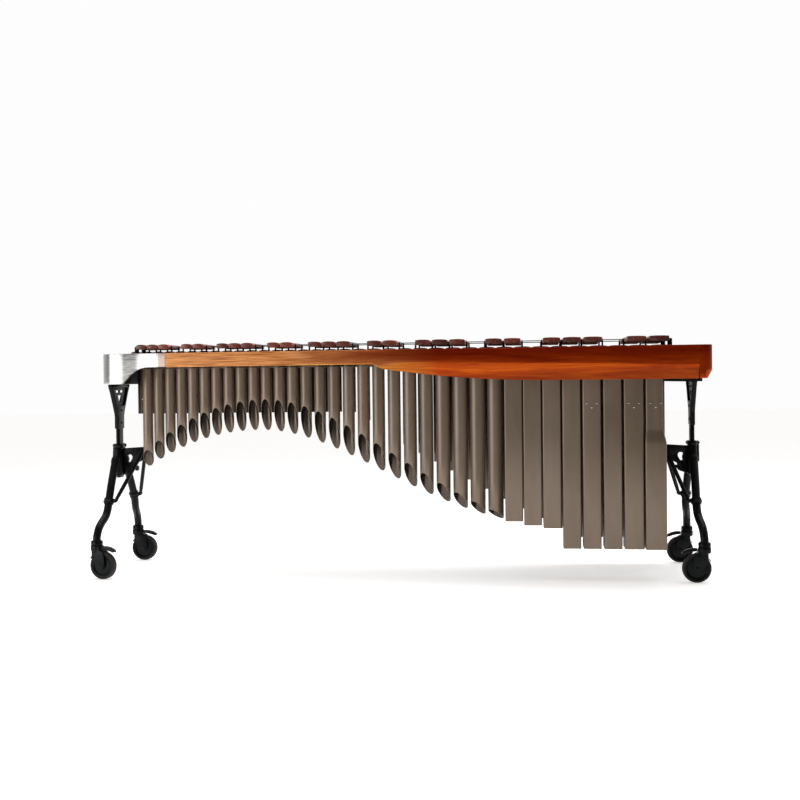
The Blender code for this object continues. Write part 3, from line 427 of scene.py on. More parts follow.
def brushed_aluminium():
    """Brushed end cover: fine lines round it, a rougher stretch with a painted darker reflection, and a
    painted warm reflection of the wooden board along the edge that meets it, as photographed.
    """
    p = Paint("brushed_aluminium", metallic=1.0, Anisotropic=0.5)
    fine = p.noise((5.0, 2600.0, 1.0), grain=True)
    streaks = p.noise((14.0, 130.0, 1.0), 5.0, 0.65, 0.5, grain=True)
    along = p.axis("X", p.place(grain=True))
    # Painted darker reflection, streaked, on a stretch of the cover that is also rougher.
    rough_painted_dark_band = p.ramp(along, (0.115, 0.0), (0.150, 1.0), (0.215, 1.0), (0.245, 0.0))
    # Painted warm reflection of the wooden board, along the cover's edge that meets it.
    painted_wood_reflection = p.ramp(along, (0.030, (0.44, 0.355, 0.31)), (0.048, WHITE))
    plain = p.blend(p.between(streaks, 0.0, 1.0), (0.60, 0.585, 0.57), (0.68, 0.67, 0.66))
    painted_dark_reflection = p.times((0.235, 0.23, 0.222), p.ramp(streaks, (0.36, 0.55), (0.50, 1.0), (0.62, 1.25)))
    colour = p.times(p.blend(rough_painted_dark_band, plain, painted_dark_reflection), painted_wood_reflection)
    colour = p.times(colour, p.ramp(fine, (0.3, 0.6), (0.7, 1.0)), 0.25)
    p.bump(fine, 0.05, 0.0003)
    tangent = p.add("Tangent", direction_type="UV_MAP", uv_map="grain").outputs["Tangent"]
    return p.use(Base_Color=colour, Roughness=p.between(rough_painted_dark_band, 0.26, 0.38), Tangent=tangent)


def resonator_metal(name, low, high, roughness, metallic):
    """Satin brown metal with faint drawn lines along Z; each tube differs a little."""
    p = Paint(name, metallic=metallic, Coat_Weight=0.40, Coat_Roughness=0.33)
    drawn = p.noise((900.0, 900.0, 3.0), 3.0)
    cloud = p.noise((9.0, 9.0, 2.2), 4.0, 0.55, 0.5)
    random = p.add("ObjectInfo").outputs["Random"]
    tint = p.ramp(random, (0.0, (1.05, 0.98, 0.97)), (0.5, WHITE), (1.0, (0.97, 0.98, 0.92)))
    colour = p.times(p.blend(p.ramp(cloud, (0.3, 0.0), (0.7, 1.0)), low, high), tint)
    colour = p.times(colour, p.ramp(drawn, (0.3, 0.78), (0.7, 1.0)), 0.35)
    p.bump(drawn, 0.05, 0.0003)
    return p.use(Base_Color=colour, Roughness=p.between(cloud, roughness - 0.05, roughness + 0.07))


def braided_cord():
    """Dark grey-green braid, drawn as two crossing sets of strands."""
    p = Paint("braided_cord", 0.75, Sheen_Weight=0.3)
    strands = []
    for lean in (1.0, -1.0):
        inputs = {"Vector": p.place((1.0, lean * 0.9, 0.9)), "Scale": 190.0, "Distortion": 0.4}
        strands.append(p.add("TexWave", inputs, bands_direction="DIAGONAL").outputs["Fac"])
    weave = p.add("Math", {0: strands[0], 1: strands[1]}, operation="MULTIPLY").outputs["Value"]
    p.bump(weave, 0.5, 0.0004)
    return p.use(Base_Color=p.ramp(weave, (0.05, (0.035, 0.045, 0.046)), (0.6, (0.15, 0.175, 0.175))))


def bright_steel():
    """Plated screws and pins, faintly uneven."""
    p = Paint("bright_steel", 0.22, 1.0)
    marks = p.noise(400.0, 3.0)
    p.bump(marks, 0.08, 0.0002)
    return p.use(Base_Color=p.ramp(marks, (0.3, (0.62, 0.62, 0.64)), (0.7, (0.85, 0.85, 0.87))))


def studio_floor():
    """Pale seamless floor with the slightest unevenness and a light of its own."""
    p = Paint("studio_floor", 0.9, Specular_IOR_Level=0.15, Emission_Strength=FLOOR_GLOW)
    p.use(Emission_Color=(1.0, 0.99, 0.975, 1.0))
    cloud = p.noise(0.7, 3.0, 0.5)
    return p.use(Base_Color=p.ramp(cloud, (0.2, (0.855, 0.853, 0.850)), (0.8, 0.875)))


WOOD = padauk_wood()
ROSEWOOD = rosewood()
ALUMINIUM = brushed_aluminium()
TAUPE = resonator_metal("taupe_metal", (0.172, 0.122, 0.084), (0.226, 0.170, 0.126), 0.42, 0.50)
# Painted shade: a darker copy of the resonator metal for the rear bank, which stands in shade behind the
# front bank.
TAUPE_SHADED = resonator_metal(
    "taupe_metal_painted_shade", (0.060, 0.040, 0.027), (0.090, 0.064, 0.046), 0.34, 0.80
)
# Painted shade: a darker copy of the resonator metal for the insides of the resonators and their stoppers;
# the bank plates use it too.
TAUPE_INSIDE_SHADED = resonator_metal("taupe_inside_painted_shade", (0.050, 0.036, 0.026), (0.095, 0.070, 0.052), 0.26, 0.90)
BLACK_METAL = powder_coat()
BLACK_PLASTIC = black_plastic()
RUBBER = tread_rubber()
PAINTED = painted_rail()
CORD = braided_cord()
STEEL = bright_steel()
METAL_AND_PLASTIC = (BLACK_METAL, BLACK_PLASTIC)


# ---- geometry helpers
def make_piece(name, bm, materials, body, replaced=(), sharp=35.0):
    """Turns a bmesh into a piece that rides on a CAD body."""
    mesh = bpy.data.meshes.new(name)
    bmesh.ops.recalc_face_normals(bm, faces=bm.faces)
    bm.to_mesh(mesh)
    bm.free()
    for material in materials if isinstance(materials, tuple) else (materials,):
        mesh.materials.append(material)
    mesh.shade_smooth()
    mesh.set_sharp_from_angle(angle=math.radians(sharp))
    made = bpy.data.objects.new(name, mesh)
    bpy.context.scene.collection.objects.link(made)
    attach(made, body)
    if replaced:
        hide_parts(*replaced)


def circle(sides):
    """Directions round a circle, as (cosine, sine) pairs."""
    angles = [2 * math.pi * i / sides for i in range(sides)]
    return [(math.cos(a), math.sin(a)) for a in angles]


def arc(centre, radius, start, end, steps):
    """Points on an arc, with the angles in degrees."""
    angles = [math.radians(start + (end - start) * i / steps) for i in range(steps + 1)]
    return [(centre[0] + radius * math.cos(a), centre[1] + radius * math.sin(a)) for a in angles]


def oblong(half, low, high):
    return [(-half, low), (half, low), (half, high), (-half, high)]


def rounded(corners, radius, steps=3):
    """Outline with its corners rounded; radius is one number, or one for each corner."""
    points = []
    for i, corner in enumerate(corners):
        here = Vector(corner)
        before, after = Vector(corners[i - 1]), Vector(corners[(i + 1) % len(corners)])
        wanted = radius if isinstance(radius, (int, float)) else radius[i]
        reach = min(wanted, (before - here).length * 0.49, (after - here).length * 0.49)
        if reach <= 0:
            points.append(tuple(here))
            continue
        start = here + (before - here).normalized() * reach
        end = here + (after - here).normalized() * reach
        handles = [p.to_3d() for p in (start, start.lerp(here, 0.55), end.lerp(here, 0.55), end)]
        points += [(p.x, p.y) for p in interpolate_bezier(*handles, steps + 1)]
    return points


def directions(points):
    """Direction of travel at each point of a route."""
    ahead, behind = points[1:] + points[-1:], points[:1] + points[:-1]
    return [(after - before).normalized() for before, after in zip(behind, ahead)]


def loft(bm, rings, caps=(True, True), closed=True, index=0, around=False):
    """Skins a row of equal rings, and lays coordinates in metres along it for the grain."""
    layer = bm.loops.layers.uv.get("grain") or bm.loops.layers.uv.new("grain")
    verts = [[bm.verts.new(p) for p in ring] for ring in rings]
    count = len(rings[0])
    along = [0.0]
    for first, second in zip(rings, rings[1:]):
        steps = [(Vector(b) - Vector(a)).length for a, b in zip(first, second)]
        along.append(along[-1] + sum(steps) / count)
    across = []
    for ring in rings:
        across.append([0.0])
        for i in range(count):
            step = (Vector(ring[(i + 1) % count]) - Vector(ring[i])).length
            across[-1].append(across[-1][-1] + step)
    pairs = list(zip(range(len(rings) - 1), range(1, len(rings))))
    if around:
        pairs.append((len(rings) - 1, 0))
        along.append(along[-1] + (Vector(rings[0][0]) - Vector(rings[-1][0])).length)
    for a, b in pairs:
        far = along[b] if b > a else along[-1]
        for i in range(count if closed else count - 1):
            j = (i + 1) % count
            face = bm.faces.new((verts[a][i], verts[a][j], verts[b][j], verts[b][i]))
            face.material_index = index
            near_places = [(along[a], across[a][i]), (along[a], across[a][i + 1])]
            far_places = [(far, across[b][i + 1]), (far, across[b][i])]
            for loop, place in zip(face.loops, near_places + far_places):
                loop[layer].uv = place
    for wanted, end in zip(caps, (0, -1)):
        if wanted and not around:
            face = bm.faces.new(verts[end])
            face.material_index = index
            centre = sum((Vector(p) for p in rings[end]), Vector()) / count
            for loop in face.loops:
                away = loop.vert.co - centre
                loop[layer].uv = (away.x + away.y, away.z)


def plate(bm, outline, holes, thickness, matrix, edge=0.0015, index=0):
    """Flat plate with holes and softened edges, drawn in 2D and placed by a matrix."""
    curve = bpy.data.curves.new("outline", "CURVE")
    curve.dimensions = "2D"
    curve.fill_mode = "BOTH"
    curve.extrude = thickness / 2 - edge
    curve.bevel_depth = edge
    curve.bevel_resolution = 1
    curve.offset = -edge
    for ring in [outline, *holes]:
        spline = curve.splines.new("POLY")
        spline.points.add(len(ring) - 1)
        for point, (u, v) in zip(spline.points, ring):
            point.co = (u, v, 0.0, 1.0)
        spline.use_cyclic_u = True
    holder = bpy.data.objects.new("outline", curve)
    bpy.context.scene.collection.objects.link(holder)
    depsgraph = bpy.context.evaluated_depsgraph_get()
    mesh = bpy.data.meshes.new_from_object(holder.evaluated_get(depsgraph))
    bpy.data.objects.remove(holder, do_unlink=True)
    bpy.data.curves.remove(curve)
    part = bmesh.new()
    part.from_mesh(mesh)
    bmesh.ops.remove_doubles(part, verts=part.verts, dist=1e-6)
    bmesh.ops.transform(part, matrix=matrix, verts=part.verts)
    for face in part.faces:
        face.material_index = index
    part.to_mesh(mesh)
    part.free()
    bm.from_mesh(mesh)
    bpy.data.meshes.remove(mesh)


def turned(bm, profile, matrix, sides=32, index=0):
    """Lathes a profile of (radius, height) pairs round Z, closes its two ends, then places it."""
    rings = [[matrix @ Vector((r * c, r * s, z)) for c, s in circle(sides)] for r, z in profile]
    loft(bm, rings, index=index)


def ring_turned(bm, profile, matrix, index=0):
    """Lathes a closed profile into a ring with a hole through it."""
    rings = [[matrix @ Vector((r * c, r * s, z)) for r, z in profile] for c, s in circle(WHEEL_SIDES)]
    loft(bm, rings, around=True, index=index)


def sweep(bm, points, radii, sides=20, index=0):
    """Round tube along smooth points, with one radius or its own at each."""
    points = [Vector(p) for p in points]
    if isinstance(radii, float):
        radii = [radii] * len(points)
    rings = []
    side_axis = Vector((1.0, 0.0, 0.0))
    for point, along, radius in zip(points, directions(points), radii):
        side_axis = (side_axis - along * side_axis.dot(along)).normalized()
        up = along.cross(side_axis)
        rings.append([point + side_axis * radius * c + up * radius * s for c, s in circle(sides)])
    loft(bm, rings, index=index)


def spline_through(points, steps=6):
    """Catmull-Rom points through a given route."""
    points = [Vector(p) for p in points]
    padded = [2 * points[0] - points[1], *points, 2 * points[-1] - points[-2]]
    made = []
    for a, b, c, d in zip(padded, padded[1:], padded[2:], padded[3:]):
        for t in [i / steps for i in range(steps)]:
            slope, bend, turn = c - a, 2 * a - 5 * b + 4 * c - d, 3 * b - a - 3 * c + d
            made.append(0.5 * (2 * b + slope * t + bend * t * t + turn * t**3))
    return made + [points[-1]]


def facing_x(x, y=0.0, z=0.0):
    """Stands an outline drawn as (y, z) upright in the Y-Z plane."""
    return Matrix.Translation((x, y, z)) @ Matrix(((0, 0, 1, 0), (1, 0, 0, 0), (0, 1, 0, 0), (0, 0, 0, 1)))


def facing_y(y, x=0.0, z=0.0):
    """Stands an outline drawn as (x, z) upright in the X-Z plane."""
    return Matrix.Translation((x, y, z)) @ Matrix.Rotation(math.radians(90), 4, "X")


def pointing(place, direction):
    """Matrix that puts a turned shape's Z along a direction."""
    return Matrix.Translation(place) @ Vector(direction).to_track_quat("Z", "Y").to_matrix().to_4x4()


def screw(bm, place, direction, radius=0.004, index=0):
    """Domed screw head with a socket sunk in it."""
    head = [(1.0, 0.35), (0.86, 0.62), (0.5, 0.72), (0.46, 0.30)]
    profile = [(radius, -0.001), *((radius * r, radius * z) for r, z in head), (ON_AXIS, radius * 0.28)]
    turned(bm, profile, pointing(place, direction), 14, index)


# ---- wooden frame and its ends
def fascia_ring(x, side):
    """Cross-section of a long board at x, with softened edges."""
    share = clamp01((x - KINK_END) / SWEEP_LENGTH)
    inset = FACET_INSET * (1.0 - (1.0 - share) ** 2)
    bottom = fascia_bottom(x)
    facet = mix(FACET_TOP_START, FACET_TOP_END, max(x, 0.0) / FASCIA_END)
    facet = max(facet, bottom + FACET_MINIMUM)
    outer = half_depth(x)
    inner = outer - FASCIA_THICK
    corners = [(outer, RAIL_TOP), (outer, facet), (outer - inset, bottom)]
    corners += [(inner - inset, bottom), (inner, facet), (inner, RAIL_TOP)]
    edges = (0.0030, 0.0045, 0.0030, 0.0022, 0.0022, 0.0030)
    return [(x, side * y, z) for y, z in rounded(corners, edges)]


def build_fascia(name, side):
    stations = [mix(FASCIA_START, KINK_START, i / 16) for i in range(16)]
    stations += [mix(KINK_START, KINK_END, i / 6) for i in range(6)]
    stations += [mix(KINK_END, FASCIA_END, i / 40) for i in range(41)]
    bm = bmesh.new()
    loft(bm, [fascia_ring(x, side) for x in stations])
    make_piece(name + "_board", bm, WOOD, "frame", [name], 30.0)


def corner_path(end, radius, start_x, corner_steps, straight_steps):
    """Plan path round one end of the frame, from the audience's side to the player's."""
    slope = (HALF_DEPTH_LOW - HALF_DEPTH_HIGH) / (2 * HALF_LENGTH)
    centre_x = end * (HALF_LENGTH - radius)
    centre_y = -half_depth(centre_x) + radius * math.hypot(1.0, slope)
    side_angle = 180.0 + math.degrees(math.atan2(1.0, slope))
    corner = arc((centre_x, centre_y), radius, side_angle, 180.0 if end < 0 else 360.0, corner_steps)
    straight = [mix(start_x, corner[0][0], i / straight_steps) for i in range(straight_steps)]
    front = [(x, -half_depth(x)) for x in straight] + corner
    across = [(corner[-1][0], mix(corner[-1][1], -corner[-1][1], i / 12)) for i in range(1, 12)]
    return front + across + [(x, -y) for x, y in reversed(front)]


def build_end_band(name, path, thickness, bottom_at, undercut_at, knee, edges, material, node):
    """Upright band along a plan path; undercut_at gives how far its lower edge slopes inwards."""
    points = [Vector(p) for p in path]
    rings = []
    for point, along in zip(points, directions(points)):
        inwards = Vector((-along.y, along.x))
        if inwards.dot(-point) < 0:
            inwards = -inwards
        bottom, undercut = bottom_at(point.x), undercut_at(point.x)
        corners = [(GAP, RAIL_TOP), (GAP, bottom + knee), (undercut + GAP, bottom)]
        corners += [(thickness, bottom), (thickness, bottom + knee), (thickness, RAIL_TOP)]
        section = rounded(corners, edges)
        rings.append([(*(point + inwards * depth), z) for depth, z in section])
    bm = bmesh.new()
    loft(bm, rings)
    make_piece(name, bm, material, "frame", [node], 30.0)


def build_high_end():
    """Metal cover, whose lower edge rises in an arch to the slim boards."""

    def bottom_at(x):
        share = clamp01((x - ARCH_START) / ARCH_LENGTH)
        return END_BOTTOM + (SLIM_BOTTOM - END_BOTTOM) * (1.0 - (1.0 - share) ** 2)

    path = corner_path(-1, COVER_RADIUS, COVER_END, 20, 26)
    edges = (0.0022, 0.0, 0.0022, 0.0018, 0.0, 0.0018)
    build_end_band(
        "high_end_metal_cover", path, COVER_THICK, bottom_at, lambda x: 0.0, COVER_KNEE,
        edges, ALUMINIUM, "high_end_cover",
    )


def build_low_end():
    """Wooden board, whose lower edge slopes inwards past the corner."""

    def undercut_at(x):
        return BOARD_UNDERCUT * smooth((x - (HALF_LENGTH - BOARD_RADIUS)) / BOARD_RADIUS)

    path = corner_path(1, BOARD_RADIUS, FASCIA_END + GAP, 16, 4)
    edges = (0.0030, 0.0040, 0.0025, 0.0022, 0.0, 0.0030)
    build_end_band(
        "low_end_wooden_board", path, BOARD_THICK, lambda x: END_BOTTOM, undercut_at, BOARD_KNEE,
        edges, WOOD, "low_end_board",
    )


def finish_beams():
    """The two CAD cross beams stay, with softened edges and painted black."""
    for node in ("high_cross_beam", "low_cross_beam"):
        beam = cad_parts[node]
        for slot in beam.material_slots:
            slot.material = PAINTED
        bevel = beam.modifiers.new("rounded_edges", "BEVEL")
        bevel.width = 0.002
        bevel.segments = 2
        bevel.limit_method = "ANGLE"
        bevel.angle_limit = math.radians(30.0)
        bevel.harden_normals = True


# ---- bars, cords and rails
def bar_ring(x, y, bottom, top, half, crown, edge):
    """Cross-section of a bar at y: crowned top, softened corners."""
    shoulder, flat = top - crown, half * 0.45
    corners = [(-half, bottom), (half, bottom), (half, shoulder)]
    corners += [(flat, top), (-flat, top), (-half, shoulder)]
    edges = (0.0012, 0.0012, edge, half * 0.5, half * 0.5, edge)
    return [(x + u, y, z) for u, z in rounded(corners, edges)]


def build_bar(name, s, span, bottom, top, replaced):
    """One bar with the tuning arch planed out of its underside."""
    x = member_x(s)
    half = pitch(s) * (1.0 - BAR_GAP_SHARE) / 2
    front, rear = span(x)
    length = rear - front
    share = clamp01(low_share(x))
    arch = mix(ARCH_DEPTH_HIGH, ARCH_DEPTH_LOW, share)
    crown, edge = mix(*BAR_CROWN, share), mix(*BAR_EDGE, share)
    starting = [0.0, BAR_END_EASE * 0.35, BAR_END_EASE]
    stations = starting + [length * mix(0.02, 0.98, i / 22) for i in range(23)]
    stations += [length - place for place in reversed(starting)]
    rings = []
    for place in stations:
        along = place / length
        planed = arch * smooth((along - 0.25) / 0.17) * smooth((0.75 - along) / 0.17)
        end = min(place, length - place)
        lost = 1.0 - clamp01(end / BAR_END_EASE)
        shrink = BAR_END_EASE * (1.0 - math.sqrt(clamp01(1.0 - lost**2)))
        low = bottom + planed + shrink * 0.5
        rings.append(bar_ring(x, front + place, low, top - shrink, half - shrink, crown, edge))
    bm = bmesh.new()
    loft(bm, rings)
    make_piece(name, bm, ROSEWOOD, "frame", replaced, 40.0)


def build_bars():
    """Sixty-one bars; the first of each octave stands for that octave's CAD node."""
    seen = set()
    for i in range(NATURALS):
        node = f"natural_bars_octave_{max(6 - (i - 1) // 7 if i else 6, 2)}"
        name = f"bar_{NOTE_NAMES[i % 7]}{7 - (i + 6) // 7}"
        replaced = [] if node in seen else [node]
        build_bar(name, i - 0.5, natural_span, NATURAL_BOTTOM, NATURAL_TOP, replaced)
        seen.add(node)
    for k in filter(has_accidental, range(1, MEMBERS + 1)):
        node = f"accidental_bars_octave_{6 - k // 7 if k < 8 else max(6 - (k - 1) // 7, 2)}"
        name = f"bar_{NOTE_NAMES[(k + 1) % 7]}-sharp{7 - (k + 7) // 7}"
        replaced = [] if node in seen else [node]
        build_bar(name, k, accidental_span, ACCIDENTAL_BOTTOM, ACCIDENTAL_TOP, replaced)
        seen.add(node)


def accidental_posts():
    """Members that the cord hooks of the accidentals stand at, on both sides of each bar."""
    places = []
    for k in filter(has_accidental, range(1, MEMBERS + 1)):
        if not has_accidental(k - 1) or k == 1:
            places.append(k - 0.5)
        places.append(k + 0.5)
    return places


def build_rail(label, line, top):
    """Painted rail along a line, which gives Y at each X."""
    section = rounded(oblong(SUPPORT_WIDTH / 2, top - SUPPORT_HEIGHT, top), 0.002, 2)
    stations = [mix(RAILS_START, RAILS_END, i / 24) for i in range(25)]
    bm = bmesh.new()
    loft(bm, [[(x, line(x) + u, z) for u, z in section] for x in stations])
    make_piece(f"{label}_rail_board", bm, PAINTED, "frame", [f"{label}_rail"], 30.0)


def build_hooks(label, line, top, bar_top, cord_z, places):
    """Posts with a loop and a tip for the cord at each place, and a block at either end."""
    bm = bmesh.new()
    rise = cord_z - top
    sleeve = [(0.0052, 0.0), (0.0052, 0.003), (0.0042, 0.005)]
    sleeve += [(0.0036, rise - 0.002), (0.0018, rise + 0.001)]
    for x in map(member_x, places):
        centre = Vector((x, line(x), cord_z))
        turned(bm, sleeve, Matrix.Translation((x, centre.y, top - 0.001)), 10)
        loop = [centre + Vector((0.0, y, z)) for y, z in arc((0.0, 0.0), HOOK_RADIUS, -90, 210, 10)]
        sweep(bm, loop, 0.0012, 6)
        tip = (x, centre.y - HOOK_RADIUS, bar_top - POST_BELOW_BAR_TOP - 0.001)
        sweep(bm, [centre + Vector((0.0, -HOOK_RADIUS, 0.001)), tip], [0.0016, 0.0013], 8)
    block = rounded(oblong(0.0075, top - 0.002, bar_top - 0.009), 0.003)
    for s, outward in ((places[0], -1), (places[-1], 1)):
        x = member_x(s) + outward * 0.0085
        plate(bm, block, [], 0.014, facing_y(line(x), x))
    make_piece(f"{label}_cord_hooks", bm, BLACK_METAL, "frame", sharp=50.0)


def build_supports():
    """Rails, their cord hooks and the cords that run through the bars above them."""
    posts = accidental_posts()
    rows = (
        ("natural", natural_span, NATURAL_SUPPORT_TOP, NATURAL_BOTTOM, NATURAL_TOP, range(-1, NATURALS)),
        ("accidental", accidental_span, ACCIDENTAL_SUPPORT_TOP, ACCIDENTAL_BOTTOM, ACCIDENTAL_TOP, posts),
    )
    for end in ("front", "rear"):
        for row, span, top, bar_bottom, bar_top, places in rows:
            label = f"{row}_{end}"
            cord_z = (bar_bottom + bar_top) / 2

            def line(x):
                return node_line(span, x, end)

            build_rail(label, line, top)
            build_hooks(label, line, top, bar_top, cord_z, places)
            first, last = member_x(places[0] - CORD_OVERHANG), member_x(places[-1] + CORD_OVERHANG)
            route = [mix(first, last, i / 160) for i in range(161)]
            bm = bmesh.new()
            sweep(bm, [(x, line(x), cord_z) for x in route], CORD_RADIUS, 12)
            make_piece(f"{label}_cord", bm, CORD, "frame", sharp=60.0)


# ---- resonators
def build_tube(name, centre, radius, top, bottom_at, stop, replaced, metal):
    """Thin-walled round resonator: outside, inside, both rims and the stopper across it.

    bottom_at gives the height of the lower rim at a place round the tube.
    """
    bore = radius - TUBE_WALL
    lip = TUBE_WALL * 0.3
    bm = bmesh.new()

    def ring(r, height=None):
        row = []
        for c, s in circle(TUBE_SIDES):
            away = Vector((r * c, r * s, 0.0))
            z = bottom_at(away) if height is None else height
            row.append((centre[0] + away.x, centre[1] + away.y, z))
        return row

    def wall(row, first, last):
        levels = [mix(first, last, i / 6) for i in range(7)]
        return [[(x, y, mix(z, top, share)) for x, y, z in row] for share in levels[1:-1]]

    def raised(row):
        return [(x, y, z + lip) for x, y, z in row]

    low, inner_low = ring(radius), ring(bore)
    outside = [ring(radius - lip), raised(low), *wall(low, 0.0, 1.0)]
    outside += [ring(radius, top - lip), ring(radius - lip, top)]
    outside += [ring(bore + lip, top), ring(bore, top - lip)]
    inside = [ring(bore, top - lip), *wall(inner_low, 1.0, 0.0), raised(inner_low), ring(bore + lip)]
    rim = [ring(bore + lip), ring(radius - lip)]
    for rings, index in ((outside, 0), (inside, 1), (rim, 0)):
        loft(bm, rings, caps=(False, False), index=index)
    bmesh.ops.remove_doubles(bm, verts=bm.verts, dist=1e-6)
    disc, under = bore + 0.0001, stop - STOPPER
    profile = [(ON_AXIS, stop), (disc * 0.9, stop), (disc, stop - 0.0006)]
    profile += [(disc, under), (disc * 0.85, under - 0.001), (ON_AXIS, under)]
    turned(bm, profile, Matrix.Translation((*centre, 0.0)), TUBE_SIDES, index=1)
    make_piece(name, bm, (metal, TAUPE_INSIDE_SHADED), "frame", replaced, 40.0)


def build_box(name, centre, halves, top, bottom, shoulder, replaced, metal):
    """Rectangular low resonator with rounded edges, hollow from the top down to its floor."""
    x, y = centre
    neck, body = halves
    wall = BOX_WALL
    bm = bmesh.new()

    def ring(z, inset=0.0):
        share = smooth((SHOULDER_TOP - z) / (SHOULDER_TOP - SHOULDER_BOTTOM)) if shoulder else 0.0
        left, right, deep = (mix(a, b, share) - inset for a, b in zip(neck, body))
        corners = [(-left, -deep), (right, -deep), (right, deep), (-left, deep)]
        outline = rounded(corners, max(0.0065 - inset, 0.002), 5)
        return [(x + u, y + v, z) for u, v in outline]

    heights = [bottom + 0.0018]
    if shoulder:
        heights += [mix(SHOULDER_BOTTOM, SHOULDER_TOP, i / 10) for i in range(11)]
    heights += [0.85 if shoulder else mix(bottom, top, 0.5), top - 0.0006]
    outside = [ring(bottom, 0.0030), ring(bottom, 0.0018), ring(bottom + 0.0006, 0.0005)]
    outside += [ring(z) for z in heights]
    outside += [ring(top, 0.0006), ring(top, wall - 0.0006)]
    loft(bm, outside, caps=(True, False))
    inside = [ring(top, wall - 0.0006), ring(top - 0.0006, wall)]
    inside += [ring(z, wall) for z in reversed(heights[1:-1])]
    inside += [ring(bottom + STOPPER, wall)]
    loft(bm, inside, caps=(False, True), index=1)
    bmesh.ops.remove_doubles(bm, verts=bm.verts, dist=1e-6)
    make_piece(name, bm, (metal, TAUPE_INSIDE_SHADED), "frame", replaced, 40.0)


def build_front_bank():
    """Front bank: slanted tubes that sweep up and down in an arch, then the long boxes."""
    starts = {1: "high", 14: "middle", 27: "low"}
    for k in range(1, MEMBERS + 1):
        x = member_x(k)
        centre = (x, middle(accidental_span, x))
        replaced = [f"front_resonators_{starts[k]}"] if k in starts else []
        name = f"front_resonator_{k:02d}"
        if k > ROUND_MEMBERS:
            bottom = SHORT_BOX_BOTTOMS.get(k, LONG_BOX_BOTTOM)
            half = NEXT_LOWEST_HALF if k == MEMBERS - 1 else BOX_WIDTH / 2
            plain = (half, half, BOX_DEPTH / 2)
            halves = (LOWEST_NECK, LOWEST_BODY) if k == MEMBERS else (plain, plain)
            build_box(name, centre, halves, FRONT_TUBE_TOP, bottom, k == MEMBERS, replaced, TAUPE)
            continue
        radius = tube_diameter(k) / 2
        tip, drop, direction = arch_tip(k), cut_drop(k), cut_direction(k)
        semitones = (semitones_down(k) + semitones_down(k + 1)) / 2
        stop = max(FRONT_TUBE_TOP - acoustic_depth(semitones, radius), tip + drop + 0.020)

        def bottom_at(away):
            return tip + drop * (radius - away.dot(direction)) / (2 * radius)

        build_tube(name, centre, radius, FRONT_TUBE_TOP, bottom_at, stop, replaced, TAUPE)


def build_rear_bank():
    """Rear bank under the naturals: round tubes cut level, then boxes."""
    starts = {0: "high", 14: "middle", 27: "low"}
    plain = (BOX_WIDTH / 2, BOX_WIDTH / 2, BOX_DEPTH / 2)
    for i in range(NATURALS):
        x = member_x(i - 0.5)
        centre = (x, middle(natural_span, x))
        bottom = max(REAR_FLAT_BOTTOM - REAR_SLOPE * max(x - REAR_FLAT_END, 0.0), LONG_BOX_BOTTOM)
        replaced = [f"rear_resonators_{starts[i]}"] if i in starts else []
        name = f"rear_resonator_{i + 1:02d}"
        if i > ROUND_MEMBERS:
            build_box(name, centre, (plain, plain), REAR_TUBE_TOP, bottom, False, replaced, TAUPE_SHADED)
            continue
        radius = tube_diameter(i - 0.5) / 2
        stop = max(REAR_TUBE_TOP - acoustic_depth(semitones_down(i), radius), bottom + STOPPER + 0.001)
        build_tube(name, centre, radius, REAR_TUBE_TOP, lambda away: bottom, stop, replaced, TAUPE_SHADED)


def build_bank_plates():
    """Thin plates that the resonators hang in, with the screws that hold each bank's ends."""
    z = PLATE_BOTTOM + PLATE_THICK / 2
    for label, span in (("front", accidental_span), ("rear", natural_span)):
        rings = []
        for x in [mix(RAILS_START, RAILS_END, i / 40) for i in range(41)]:
            share = clamp01(low_share(x))
            round_half = TUBE_HIGH_DIAMETER / 2 + share * 0.010
            half = PLATE_MARGIN + mix(round_half, BOX_DEPTH / 2, smooth((share - 0.62) / 0.10))
            section = rounded(oblong(half, -PLATE_THICK / 2, PLATE_THICK / 2), 0.0008, 1)
            rings.append([(x, middle(span, x) + u, z + v) for u, v in section])
        bm = bmesh.new()
        loft(bm, rings)
        for x in (RAILS_START + 0.010, RAILS_END - 0.010):
            for side in (-1, 1):
                place = (x, middle(span, x) + side * 0.018, PLATE_BOTTOM + PLATE_THICK)
                screw(bm, place, (0, 0, 1), index=1)
        plate_metals = (TAUPE_INSIDE_SHADED, STEEL)
        make_piece(f"{label}_resonator_plate", bm, plate_metals, "frame", sharp=30.0)


def build_tuning_screws():
    """Small bright screws on the boxes whose stoppers can be set, and one on the first rear tube."""
    bm = bmesh.new()
    pin = rounded(oblong(0.0055, -0.0013, 0.0013), 0.001, 2)
    for k in (31, 33, 34):
        x = member_x(k)
        y = middle(accidental_span, x) - BOX_DEPTH / 2
        for side in (-1, 1):
            plate(bm, pin, [], 0.003, facing_y(y - 0.0005, x + side * PIN_SPREAD, PIN_Z), 0.0006)
        screw(bm, (x, y, PIN_Z - SCREW_BELOW_PINS), (0, -1, 0), 0.0042)
    x = member_x(-0.5)
    y = middle(natural_span, x) - TUBE_HIGH_DIAMETER / 2
    screw(bm, (x + 0.006, y + 0.0015, 0.812), (0.2, -1, 0), 0.0045)
    make_piece("tuning_screws", bm, STEEL, "frame", sharp=40.0)


# ---- stand
def stand_piece(prefix, part, bm, materials, body, node):
    """Piece of the stand; prefix names its end, or its end and its side."""
    make_piece(f"{prefix}_{part}", bm, materials, body, [f"{prefix}_{node}"])


